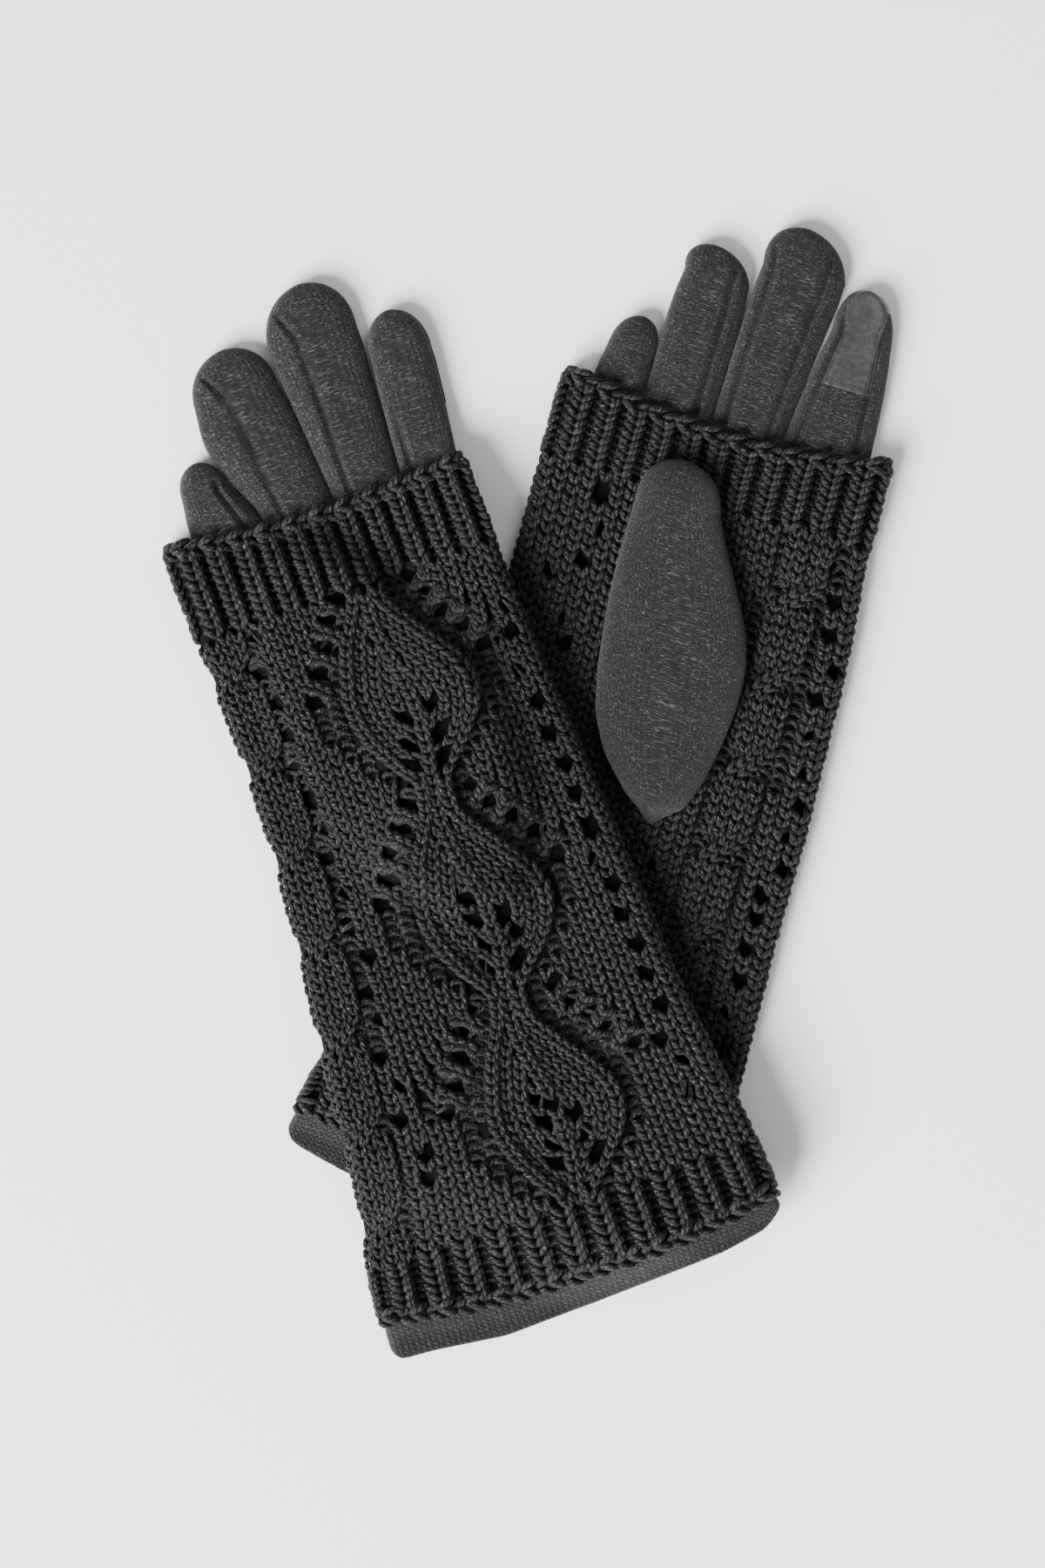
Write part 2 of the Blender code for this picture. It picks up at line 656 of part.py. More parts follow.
    def upper_heights(self):
        """Underside and top of the inner glove's upper wall, domed over each finger."""
        _, lower_top = self.lower_heights()

        def dome(u, v):
            left, right = self.finger_span(self.finger_of(u, v), v)
            return table_at(DOME, max(0.0, min(u - left, right - u)))

        def heights(u, v):
            taper = table_at(GLOVE_TAPER, self.glove_distance(u, v))
            floor = lower_top(u, v)
            if v < self.crotch:
                thickness = JERSEY_WALL * (SIDE_WALL + (1.0 - SIDE_WALL) * taper)
                base = floor + (INNER_GAP if taper > 0.99 else SIDE_GAP)
                return base, base + thickness
            share = dome(u, v) if v > self.crotch + POINT_STEP else 1.0
            edge = floor + SEAM_GAP
            top = GLOVE_HIGH_TOP + (FINGER_TOP - GLOVE_HIGH_TOP) * self.sink(u, v)
            low = edge + (top - JERSEY_WALL - edge) * share
            return low, edge + EDGE_WALL + (top - edge - EDGE_WALL) * share

        return (lambda u, v: heights(u, v)[0]), (lambda u, v: heights(u, v)[1])

    def cuff_line(self, inset=0.0):
        """The inner glove's lower end from its left side to its right side, with round corners."""
        left_rim, _, right_rim = self.bottom_rim
        points = []
        for share, v in ((0.0, left_rim + INSIDE_RIM), *self.cuff, (1.0, right_rim + INSIDE_RIM)):
            raised = v + inset if 0.0 < share < 1.0 else v
            left = self.glove_edge(raised, 1) + inset
            right = self.glove_edge(raised, 2) - inset
            points.append((left + share * (right - left), raised))
        return points

    def side_points(self, column, inset):
        """A side of the inner glove from the cuff to the knuckles."""
        rows = [row[0] for row in self.sleeve if 0.0 < row[0] < min(self.top_rim) - KNUCKLES]
        turn = inset if column == 1 else -inset
        return [(self.glove_edge(v, column) + turn, v) for v in rows]

    def glove_guides(self):
        """Lines that the inner glove bends along: its rounded sides, the steps at the rims, and the lie."""
        guides = list(self.lie_lines())
        for distance, _ in GLOVE_TAPER[1:]:
            guides.append([(u + distance, v) for u, v in self.side_points(1, 0.0)])
            guides.append([(u - distance, v) for u, v in self.side_points(2, 0.0)])
        for rows, sign in ((self.top_rim, 1), (self.bottom_rim, -1)):
            for distance in (STEP_START, STEP_START + STEP_DOWN):
                line = []
                for share in (0.0, 0.25, 0.5, 0.75, 1.0):
                    v = rows[1]
                    u = self.glove_edge(v, 1) + share * (self.glove_edge(v, 2) - self.glove_edge(v, 1))
                    line.append((u, self.rim(u, rows) + sign * distance))
                guides.append(line)
        return guides

    def dome_lines(self, finger):
        """Lines along a finger where its rounded top bends."""
        lines = []
        start = self.crotch + 1.2 * POINT_STEP
        for distance, _ in DOME[1:]:
            ring = self.finger_edges(finger, distance)
            if self.tip_frame(finger)[2] > distance + 2 * POINT_STEP:
                above = [point for point in ring if point[1] > start + 2 * POINT_STEP]
                lines.append([(ring[0][0], start)] + above + [(ring[-1][0], start)])
        return lines

    def hand_outline(self, inset, at_seams, end_cut):
        """The outline of a glove panel with four fingers, which end at their seams or part in narrow slots."""
        points = self.cuff_line(inset) + self.side_points(2, inset)
        for index in range(len(self.fingers) - 1, -1, -1):
            finger = self.fingers[index]
            edges = [point for point in self.finger_edges(finger, inset) if point[1] > self.crotch]
            if finger is self.fingers[-1] and end_cut:
                left, right = self.finger_span(finger, PATCH_START)
                edges = [point for point in edges if point[1] < PATCH_START - POINT_STEP]
                low_left = [point for point in edges if point[0] < (left + right) / 2]
                low_right = [point for point in edges if point[0] > (left + right) / 2]
                edges = low_left + [(left + inset, PATCH_START), (right - inset, PATCH_START)] + low_right
            edges.reverse()
            points.extend(self.between_seams(index, edges, end_cut) if at_seams else edges)
        points.extend(self.side_points(1, inset)[::-1])
        return points

    def seam_side(self, finger, column, turn):
        """One seam of a finger from below the crotch to its tip, half a seam's gap to one side."""
        gap = turn * SEAM_GAP / 2
        line = self.seam_line(finger, column)
        foot = (line[0][0] + gap, self.crotch - FOURCHETTE_REACH)
        return [foot] + [(u + gap, v) for u, v in line[:-1]] + [(line[-1][0] + 2 * gap, line[-1][1])]

    def between_seams(self, index, edges, end_cut):
        """A finger of the upper wall, inside its seams with the fourchettes."""
        finger = self.fingers[index]
        right = self.seam_side(finger, 3, -1) if index < len(self.fingers) - 1 else []
        left = self.seam_side(finger, 2, 1) if index > 0 else []
        if end_cut and not right:
            seam_u = table_at([(v, u) for u, v in left], PATCH_START)
            left = [point for point in left if point[1] < PATCH_START - POINT_STEP] + [(seam_u, PATCH_START)]
            return [point for point in edges if point[0] > seam_u + POINT_STEP] + left[::-1]
        peak = edges.index(max(edges, key=lambda point: point[1]))
        down_right = [point for point in edges[:peak + 1] if not right or point[1] > right[-1][1] + POINT_STEP]
        down_left = [point for point in edges[peak + 1:] if not left or point[1] > left[-1][1] + POINT_STEP]
        return right + down_right + down_left + left[::-1]

    def build_hand(self, upper, material):
        """The back or the palm piece of the inner glove, from the cuff to the four fingertips."""
        face = "palm" if upper == self.palm_up else "back"
        low, high = self.upper_heights() if upper else self.lower_heights()
        guides = self.glove_guides()
        if upper:
            for finger in self.fingers:
                guides.extend(self.dome_lines(finger))
        inset = 0.0 if upper else LOW_EDGE_INSET
        outline = self.hand_outline(inset, upper, face == "palm")
        build_panel(f"{self.side}_glove_{face}", outline, guides, [], low, high, self.place, material)

    def build_patch(self, material):
        """The touch-screen corner that ends the index finger's palm side."""
        upper = self.palm_up
        low, high = self.upper_heights() if upper else self.lower_heights()
        finger = self.fingers[-1]
        inset = 0.0 if upper else LOW_EDGE_INSET
        start = PATCH_START + SEAM_GAP
        edges = [point for point in self.finger_edges(finger, inset) if point[1] > start + POINT_STEP]
        left, right = self.finger_span(finger, start)
        if upper:
            seam = self.seam_side(finger, 2, 1)
            rise = [point for point in seam if point[1] > start + POINT_STEP]
            peak = edges.index(max(edges, key=lambda point: point[1]))
            over = [point for point in edges[:peak] if point[1] > seam[-1][1] + POINT_STEP]
            outline = [(table_at([(v, u) for u, v in seam], start), start)] + rise + over + edges[peak:]
        else:
            outline = [(left + inset, start)] + edges
        outline.append((right - inset, start))
        guides = self.lie_lines() + (self.dome_lines(finger) if upper else [])
        build_panel(f"{self.side}_tip_patch", outline, guides, [], low, high, self.place, material)

    def build_fourchettes(self, material):
        """The strips between neighbouring fingers, each forked from the crotch up two fingers."""
        low, high = self.upper_heights()
        gap = SEAM_GAP / 2
        foot = self.crotch - FOURCHETTE_REACH + SEAM_GAP
        for number, (near, far) in enumerate(zip(self.fingers, self.fingers[1:]), 1):
            up = [(u + gap, v) for u, v in self.seam_line(near, 3)]
            down = [(u - gap, v) for u, v in self.seam_line(far, 2)]
            up[-1] = (up[-1][0], up[-1][1] - SEAM_GAP)
            down[-1] = (down[-1][0], down[-1][1] - SEAM_GAP)
            inner = self.side_below(self.finger_edges(near)[::-1], up[-1][1])[::-1]
            outer = self.side_below(self.finger_edges(far), down[-1][1])
            crotch = [((inner[-1][0] + outer[0][0]) / 2, self.crotch + 2 * POINT_STEP)]
            outline = [(up[0][0], foot)] + up + inner + crotch + outer + down[::-1] + [(down[0][0], foot)]
            guides = self.glove_guides() + self.dome_lines(near) + self.dome_lines(far)
            build_panel(f"{self.side}_fourchette_{number}", outline, guides, [], low, high, self.place, material)

    def side_below(self, edges, top):
        """The first side of a finger's edge, from the crotch up to just below a height."""
        peak = edges.index(max(edges, key=lambda point: point[1]))
        return [point for point in edges[:peak] if self.crotch < point[1] < top - POINT_STEP]

    # ---- the thumb ----

    def build_thumb(self, material):
        """The thumb's two pieces. It comes out of the palm's opening and lies along the sleeve."""
        def domed(u, v):
            return table_at(DOME, max(0.0, thumb_distance(u, v)))

        def root(u, v):
            """Share of the way down through the opening to the inner glove's palm."""
            reach = math.hypot((u - THUMB_OPENING_CENTRE[0]) / THUMB_OPENING_HALF[0],
                               (v - THUMB_OPENING_CENTRE[1]) / THUMB_OPENING_HALF[1])
            return table_at(((THUMB_ROOT_SCALE, 1.0), (THUMB_SHOULDER_SCALE, 0.0)), reach)

        drop = KNIT_WALL + LAYER_GAP - THUMB_ROOT_GAP

        def over_sleeve(v):
            """Level that the thumb lies at, a little higher over the ribs at its tip."""
            return SLEEVE_HIGH_TOP + LAYER_GAP + table_at(THUMB_RISE, v)

        def near_low(u, v):
            return -drop * root(u, v)

        def near_high(u, v):
            return THUMB_WALL - drop * root(u, v)

        def far_low(u, v):
            edge = THUMB_WALL + SEAM_GAP
            return edge + (THUMB_TOP - THUMB_WALL - edge) * domed(u, v)

        def far_high(u, v):
            return THUMB_EDGE + (THUMB_TOP - THUMB_EDGE) * domed(u, v)

        rings = [opening_ring(THUMB_ROOT_SCALE), opening_ring(THUMB_SHOULDER_SCALE)]
        across = (self.sleeve[0][1], self.sleeve[0][2])
        bends = self.lie_lines() or [[(across[0], v), (across[1], v)] for v, _ in THUMB_RISE]
        near_guides = [ring + ring[:1] for ring in rings] + bends
        far_guides = [thumb_outline(distance) for distance, _ in DOME[1:]] + bends
        pieces = (("thumb_back", near_guides, near_low, near_high),
                  ("thumb_front", far_guides, far_low, far_high))
        for name, guides, low, high in pieces:
            inset = 0.0 if name == "thumb_front" else LOW_EDGE_INSET
            outline = thumb_outline(inset)
            if self.palm_up:
                def bottom(u, v, heights=low):
                    return over_sleeve(v) + heights(u, v)

                def top(u, v, heights=high):
                    return over_sleeve(v) + heights(u, v)
            else:
                def bottom(u, v, heights=high):
                    return THUMB_TOP - heights(u, v)

                def top(u, v, heights=low):
                    return THUMB_TOP - heights(u, v)
            place = self.place if self.palm_up else self.place_under
            build_panel(f"{self.side}_{name}", outline, guides, [], bottom, top, place, material)


def thumb_outline(inset):
    """The thumb's outline, anticlockwise from its right lower corner, moved inwards."""
    half = (THUMB_ROWS[-1][2] - THUMB_ROWS[-1][1]) / 2
    centre = (THUMB_ROWS[-1][2] + THUMB_ROWS[-1][1]) / 2
    last_v = THUMB_ROWS[-1][0]
    right = [(row[2] - inset, max(row[0], THUMB_ROWS[0][0] + inset)) for row in THUMB_ROWS]
    left = [(row[1] + inset, max(row[0], THUMB_ROWS[0][0] + inset)) for row in THUMB_ROWS]
    if inset > THUMB_NARROW_INSET:
        right, left = right[2:], left[2:]
    for step in TIP_STEPS:
        v = last_v + (THUMB_TIP[1] - inset - last_v) * step
        width = (half - inset) * math.sqrt(1.0 - step * step)
        middle = centre + (THUMB_TIP[0] - centre) * step
        right.append((middle + width, v))
        left.append((middle - width, v))
    return right + [(THUMB_TIP[0], THUMB_TIP[1] - inset)] + left[::-1]


def thumb_distance(u, v):
    """How far a plan point lies inside the thumb's sides."""
    last_v = THUMB_ROWS[-1][0]
    if v <= last_v:
        return min(u - table_at(THUMB_ROWS, v, 1), table_at(THUMB_ROWS, v, 2) - u, v - THUMB_ROWS[0][0])
    half = (THUMB_ROWS[-1][2] - THUMB_ROWS[-1][1]) / 2
    centre = (THUMB_ROWS[-1][2] + THUMB_ROWS[-1][1]) / 2
    share = min(1.0, (v - last_v) / (THUMB_TIP[1] - last_v))
    middle = centre + (THUMB_TIP[0] - centre) * share
    return half * math.sqrt(max(0.0, 1.0 - share * share)) - abs(u - middle)


def opening_ring(scale):
    """The thumb opening's outline, or one like it inside it."""
    turns = [2 * math.pi * step / OPENING_STEPS for step in range(OPENING_STEPS)]
    return [(THUMB_OPENING_CENTRE[0] + scale * THUMB_OPENING_HALF[0] * math.cos(turn),
             THUMB_OPENING_CENTRE[1] + scale * THUMB_OPENING_HALF[1] * math.sin(turn)) for turn in turns]


def under_line(distance):
    """A bend of the left glove over the right one, as table points at a distance outside the right sleeve."""
    knee = (UNDER_SIDE_U, UNDER_KNEE_V)
    side = side_line((UNDER_SIDE_U, UNDER_FAR_V), knee, distance)
    flare = side_line(knee, UNDER_CORNER, distance)
    rim = side_line((UNDER_CORNER[0], UNDER_RIM_V), (UNDER_FAR_U, UNDER_RIM_V), distance)
    points = [(UNDER_SIDE_U - distance, UNDER_FAR_V), meeting(side, flare), meeting(flare, rim),
              (UNDER_FAR_U, UNDER_RIM_V - distance)]
    return [RIGHT_GLOVE.to_table(*point) for point in points]


def under_distance(table_point):
    """How far a table point lies outside the right sleeve's side and lower end."""
    u, v = RIGHT_GLOVE.to_plan(table_point)
    knee = (UNDER_SIDE_U, UNDER_KNEE_V)
    flare = side_line(knee, UNDER_CORNER, 0.0)
    beside = UNDER_SIDE_U - u
    beside_flare = flare[0] * u + flare[1] * v - flare[2]
    return max(min(beside, beside_flare), UNDER_RIM_V - v)


LEFT_GLOVE = Glove("left", LEFT_SLEEVE, LEFT_FINGERS, False, LEFT_TURN, LEFT_ORIGIN,
                   ((253.2, 247.6, 250.0), (-2.4, -10.4, -4.4)), LEFT_CUFF)
RIGHT_GLOVE = Glove("right", RIGHT_SLEEVE, RIGHT_FINGERS, True, RIGHT_TURN, RIGHT_ORIGIN,
                    ((249.0, 242.4, 249.6), (-1.8, -7.0, -0.6)), RIGHT_CUFF)


def centre_on_table():
    """Moves every piece so that the pair stands on z = 0 with its box centred on the origin."""
    pieces = [item for item in bpy.data.objects if item.type == "MESH"]
    corners = [vert.co for piece in pieces for vert in piece.data.vertices]
    low = Vector(min(corner[axis] for corner in corners) for axis in range(3))
    high = Vector(max(corner[axis] for corner in corners) for axis in range(3))
    shift = Vector((-(low.x + high.x) / 2, -(low.y + high.y) / 2, -low.z))
    for piece in pieces:
        for vert in piece.data.vertices:
            vert.co += shift


def main():
    clear_scene()
    knit = make_material("lace_knit_yarn", (0.045, 0.045, 0.047), 0.85)
    jersey = make_material("brushed_jersey", (0.09, 0.09, 0.092), 0.8)
    coated = make_material("touch_patch_cloth", (0.16, 0.15, 0.15), 0.45)
    for glove in (RIGHT_GLOVE, LEFT_GLOVE):
        glove.build_sleeve(knit)
        for upper in (True, False):
            glove.build_hand(upper, jersey)
        glove.build_patch(coated)
        glove.build_fourchettes(jersey)
        glove.build_thumb(jersey)
    centre_on_table()


main()
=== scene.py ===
"""The looks of a pair of layered knit gloves that lie flat, one across the other.

Lengths are in millimetres until a mesh is placed. Each glove has a plan of its own: u runs across the
hand, v runs from the wrist to the fingertips, and z is the height in the lying stack.
"""

import logging
import math
from collections.abc import Callable
from dataclasses import dataclass, field
from enum import Enum
from functools import partial

import bmesh
import bpy
import numpy as np
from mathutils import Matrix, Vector

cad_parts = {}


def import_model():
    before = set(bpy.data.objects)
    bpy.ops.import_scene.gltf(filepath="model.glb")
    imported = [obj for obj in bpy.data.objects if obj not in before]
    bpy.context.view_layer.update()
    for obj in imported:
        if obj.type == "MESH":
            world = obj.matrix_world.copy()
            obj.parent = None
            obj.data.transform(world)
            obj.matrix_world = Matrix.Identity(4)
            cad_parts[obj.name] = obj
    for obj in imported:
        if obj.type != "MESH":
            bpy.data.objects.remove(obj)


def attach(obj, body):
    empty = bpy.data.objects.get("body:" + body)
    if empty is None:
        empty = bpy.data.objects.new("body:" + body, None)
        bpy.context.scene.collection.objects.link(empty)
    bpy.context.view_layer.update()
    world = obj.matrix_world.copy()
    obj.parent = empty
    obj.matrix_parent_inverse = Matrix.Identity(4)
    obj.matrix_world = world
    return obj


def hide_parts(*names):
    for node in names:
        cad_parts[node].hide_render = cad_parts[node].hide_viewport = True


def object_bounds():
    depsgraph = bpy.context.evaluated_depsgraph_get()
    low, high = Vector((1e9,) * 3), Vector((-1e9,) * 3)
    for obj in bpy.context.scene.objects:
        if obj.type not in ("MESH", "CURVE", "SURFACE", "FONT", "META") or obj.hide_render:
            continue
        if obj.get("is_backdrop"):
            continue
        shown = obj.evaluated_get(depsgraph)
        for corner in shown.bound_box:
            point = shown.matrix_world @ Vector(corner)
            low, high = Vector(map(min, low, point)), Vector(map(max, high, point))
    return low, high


LOG = logging.getLogger("gloves")
SENSOR = 36.0
MM = 0.001

Array = np.ndarray
Rows = tuple[tuple[float, ...], ...]
Path = Callable[[Array], tuple[Array, Array]]
Socket = bpy.types.NodeSocket
Value = Socket | float | tuple[float, ...]

# Heights of the lying stack, from the table up.
MIDDLE = 5.1
SLEEVE_TOP = 10.2
LAYER_GAP = 0.4
GLOVE_LOW = 2.6
# Points of a surface nearer than this become one.
WELD = 0.02

# Stretches along the sleeve.
WRIST_RIB_END = 14.0
HAND_RIB_START = 221.0

# The hull of the thumb in the plan, and the outline of the right sleeve that the left glove climbs over.
THUMB_HULL = (
    (4.0, 117.0), (14.5, 117.0), (26.2, 146.0), (26.2, 173.0), (4.0, 219.0), (-8.0, 232.4),
    (-18.0, 232.4), (-26.0, 221.0), (-26.0, 190.0), (-22.0, 152.0),
)
UNDER_OUTLINE = ((-59.5, 300.0), (-58.6, 68.0), (-75.5, -4.0), (70.0, -7.5), (70.0, 300.0))
CLIMB_HEIGHT = 12.2
CLIMB_RUN = 36.0
THUMB_LIFT = 7.0
THUMB_RUN = 15.0

# The thumb: rows of v, left edge and right edge, from where it leaves the sleeve to its round tip.
THUMB_ROWS = (
    (118.0, 5.5, 13.5), (125.5, -2.0, 19.2), (134.0, -10.8, 22.0), (146.0, -17.6, 24.2),
    (160.0, -21.0, 25.5), (172.0, -22.8, 25.0), (184.0, -24.2, 21.4), (196.0, -25.0, 14.6),
    (216.0, -25.2, 2.8),
)
THUMB_TIP = (-13.0, 231.2)
THUMB_THICK = 6.6
THUMB_OPENING = (11.0, 137.0, 8.0, 12.5)
TIP_POWER = 2.2

# A leaf by the distance from its tip at the wrist's side: where its middle lies, and half its width.
LEAF_SHAPE = (
    (0.0, 6.2, 6.2), (3.5, 6.8, 8.8), (7.0, 7.4, 12.3), (12.0, 8.3, 16.0), (16.0, 8.7, 18.8),
    (21.0, 8.9, 20.8), (27.0, 8.8, 21.9), (33.6, 8.1, 20.9), (39.2, 7.1, 18.4), (44.8, 5.8, 15.6),
    (50.4, 4.8, 12.4), (56.0, 4.6, 9.0), (60.0, 4.9, 6.8), (65.0, 5.4, 6.1), (69.5, 6.1, 6.1),
)
LEAF_STARTS = (15.0, 84.0, 155.0)
# How far past a leaf's edge the knitting is sunken beside its lower half: on its left and on its right.
SUNKEN_REACH = {-1: ((0.0, 3.5), (8.0, 6.5), (20.0, 8.4), (34.0, 9.6)),
                1: ((0.0, 3.0), (8.0, 5.0), (20.0, 6.0), (34.0, 6.6))}
SHOULDER_START = 36.0
# How far from a leaf's middle the plain wales lie at its shoulder, where no bar leads into them.
SHOULDER_LINE = ((36.0, 30.0), (45.0, 25.5), (52.0, 21.0), (59.5, 15.5), (66.5, 11.0), (70.0, 10.0))

# Eyelets of the leaf side: shoulder rows by leaf and side, slits beside the midrib, and side columns.
SHOULDER_EYELETS = (
    (((-5.6, 82.6), (-11.2, 76.2), (-14.6, 69.4), (-19.0, 61.6), (-23.8, 54.6)),
     ((21.8, 82.6), (24.6, 75.6), (28.6, 69.4), (33.0, 63.0), (39.2, 55.2))),
    (((-3.4, 151.2), (-7.0, 143.4), (-13.4, 137.8), (-16.8, 129.4), (-22.4, 123.2)),
     ((17.4, 149.8), (21.0, 142.8), (26.6, 136.4), (31.4, 129.4), (36.4, 120.4))),
    (((-4.2, 219.8), (-7.8, 214.2), (-11.8, 206.6), (-16.2, 199.4), (-21.4, 190.4)),
     ((20.4, 219.6), (23.8, 212.8), (26.6, 205.8), (31.4, 199.4), (35.6, 190.4))),
)
MIDRIB_SLITS = (
    (6.2, 46.2), (4.2, 39.8), (3.4, 33.0), (2.2, 27.4), (15.4, 40.6), (15.4, 33.6), (16.8, 26.6),
    (4.8, 116.2), (5.0, 107.8), (3.4, 101.4), (2.2, 93.8), (14.0, 107.8), (14.6, 100.8), (13.4, 93.2),
    (5.0, 175.8), (2.8, 168.0), (1.4, 161.6), (14.6, 169.4), (12.6, 161.0), (15.4, 179.2),
)
BACK_COLUMNS = (
    (-32.2, 217.0), (-35.0, 205.8), (-32.6, 194.6), (-32.8, 183.4), (-35.4, 173.0), (-33.0, 162.4),
    (-31.6, 152.0), (-34.2, 142.2), (-32.2, 130.2), (-34.2, 120.4), (-31.6, 109.2), (-35.8, 98.6),
    (-35.0, 89.0), (-38.6, 77.0), (-35.8, 66.6), (-38.4, 56.0), (-34.2, 44.8), (-37.8, 35.6),
    (46.2, 200.2), (46.2, 191.8), (43.4, 179.2), (46.2, 168.0), (45.4, 156.8), (48.2, 145.6),
    (47.6, 135.8), (49.0, 124.6), (46.2, 114.8), (49.8, 105.0), (48.2, 95.2), (51.0, 84.0),
    (49.8, 75.6), (51.2, 63.8), (47.6, 53.2), (51.8, 44.8), (51.0, 35.0),
)
PALM_COLUMNS = (
    (42.6, 212.0), (45.6, 202.2), (47.6, 191.2), (51.2, 180.6), (49.6, 170.8), (50.6, 158.8),
    (51.8, 147.0), (53.6, 136.4), (52.4, 126.0), (54.0, 115.4), (50.4, 106.6), (52.0, 97.0),
    (50.4, 87.6), (51.8, 77.0), (50.4, 66.6), (52.4, 55.0), (50.8, 43.0),
    (-36.4, 214.2), (-33.0, 203.0), (-36.4, 191.8), (-44.8, 186.2), (-36.4, 172.2), (-33.0, 165.2),
    (-36.6, 154.0), (-34.0, 143.0), (-37.0, 131.0), (-34.6, 119.0), (-37.2, 107.0), (-35.0, 95.0),
    (-37.6, 83.0), (-35.4, 71.0), (-38.0, 59.0), (-36.0, 47.0), (14.0, 105.0),
)


class Side(Enum):
    """The two gloves of the pair."""

    LEFT = "left"
    RIGHT = "right"


class Face(Enum):
    """The face of a flat tube that lies up, and the one that lies down."""

    UPPER = 1
    UNDER = -1


class Loop(Enum):
    """The two looks of a knitted stitch."""

    KNIT = "knit"
    PURL = "purl"


class Section(Enum):
    """How round a length of yarn is made: the curve's bevel resolution."""

    ROUND = 1
    SQUARE = 0


# ---------------------------------------------------------------------------------------------
# Helpers on tables and numbers
# ---------------------------------------------------------------------------------------------


def table(rows: Rows, where: Array | float, column: int = 1, reach: float = 0.0) -> Array:
    """Reads one column of a table of rows.

    Args:
        rows: Rows that start with the place along the table.
        where: Places to read at.
        column: Which value of the rows to read.
        reach: How far the corners of the table are rounded.

    Returns:
        The values, straight between rows or with rounded corners.
    """
    places = [row[0] for row in rows]
    values = [row[column] for row in rows]
    where = np.asarray(where, float)
    if not reach:
        return np.interp(where, places, values)
    shifts = (-1.0, -0.5, 0.0, 0.5, 1.0)
    weights = (0.1, 0.23, 0.34, 0.23, 0.1)
    return sum(weight * np.interp(where + shift * reach, places, values)
               for shift, weight in zip(shifts, weights))


def ease(share: Array | float) -> Array:
    """The smooth step of a share, held between 0 and 1."""
    share = np.clip(share, 0.0, 1.0)
    return share * share * (3.0 - 2.0 * share)


def hump(distance: Array | float, width: float) -> Array:
    """A soft bell over a distance, 1 at its middle."""
    return np.exp(-np.square(np.asarray(distance, float) / width))


def squared_off(value: Array, power: float) -> Array:
    """A sine or cosine whose size is raised to a power: below 1, a circle turns towards a square."""
    return np.sign(value) * np.abs(value) ** power


def tip_width(share: Array) -> Array:
    """The width of a round tip, as a share of its root's, by the share of the way to its end."""
    return np.sqrt(1.0 - share ** TIP_POWER)


def lean_of(across: Array, along: Array) -> Array:
    """The angle of a line of stitches from the length of its face, towards higher across."""
    return np.arctan(np.gradient(across, along))


def put_mesh(name: str, mesh: bpy.types.Mesh, *materials: bpy.types.Material) -> bpy.types.Object:
    """Makes an object of a mesh and logs it.

    Args:
        name: The object's name.
        mesh: Its mesh, already in its place.
        materials: Its finishes.

    Returns:
        The object, linked to the scene.
    """
    for material in materials:
        mesh.materials.append(material)
    piece = bpy.data.objects.new(name, mesh)
    bpy.context.scene.collection.objects.link(piece)
    LOG.info("%s: %d faces", name, len(mesh.polygons))
    return piece


def outside_distance(x: Array, y: Array, outline: Rows) -> Array:
    """How far points lie outside a convex outline, 0 inside it.

    Args:
        x: First coordinate of the points.
        y: Second coordinate of the points.
        outline: The corners of the outline.

    Returns:
        The distance to the nearest side, or 0 where the point lies inside.
    """
    x, y = np.broadcast_arrays(np.asarray(x, float), np.asarray(y, float))
    nearest = np.full(x.shape, 1e9)
    inside = np.zeros(x.shape, bool)
    for (x0, y0), (x1, y1) in zip(outline, outline[1:] + outline[:1]):
        run = (x1 - x0, y1 - y0)
        share = np.clip(((x - x0) * run[0] + (y - y0) * run[1]) / (run[0] ** 2 + run[1] ** 2), 0.0, 1.0)
        nearest = np.minimum(nearest, np.hypot(x - x0 - share * run[0], y - y0 - share * run[1]))
        if y0 != y1:
            crossing = (y0 > y) != (y1 > y)
            inside ^= crossing & (x < x0 + (y - y0) / (y1 - y0) * run[0])
    return np.where(inside, 0.0, nearest)


# ---------------------------------------------------------------------------------------------
# The plan of a glove
# ---------------------------------------------------------------------------------------------


@dataclass(frozen=True)
class Finger:
    """One finger: rows of v, left edge, left seam, right seam and right edge, and its round tip."""

    name: str
    rows: Rows
    tip: tuple[float, float]

    def span(self, v: Array) -> tuple[Array, Array]:
        """Left and right edge at rows along the finger, also in its round tip.

        Args:
            v: Places along the finger.

        Returns:
            The left and the right edges.
        """
        last = self.rows[-1]
        half = (last[4] - last[1]) / 2
        centre = (last[4] + last[1]) / 2
        share = np.clip((v - last[0]) / (self.tip[1] - last[0]), 0.0, 1.0)
        middle = centre + (self.tip[0] - centre) * share
        width = half * tip_width(share)
        left = np.where(v <= last[0], table(self.rows, v, 1, 5.0), middle - width)
        right = np.where(v <= last[0], table(self.rows, v, 4, 5.0), middle + width)
        return left, right

    def seam(self, v: Array, column: int) -> Array:
        """Where a seam of the finger runs, up to where it meets the tip's edge."""
        last = self.rows[-1]
        reach = last[0] + (self.tip[1] - last[0]) * 0.72
        edge = self.span(np.asarray(reach))[0 if column == 2 else 1]
        rows = self.rows + ((reach, *(float(edge),) * 4),)
        return table(rows, v, column, 3.0)


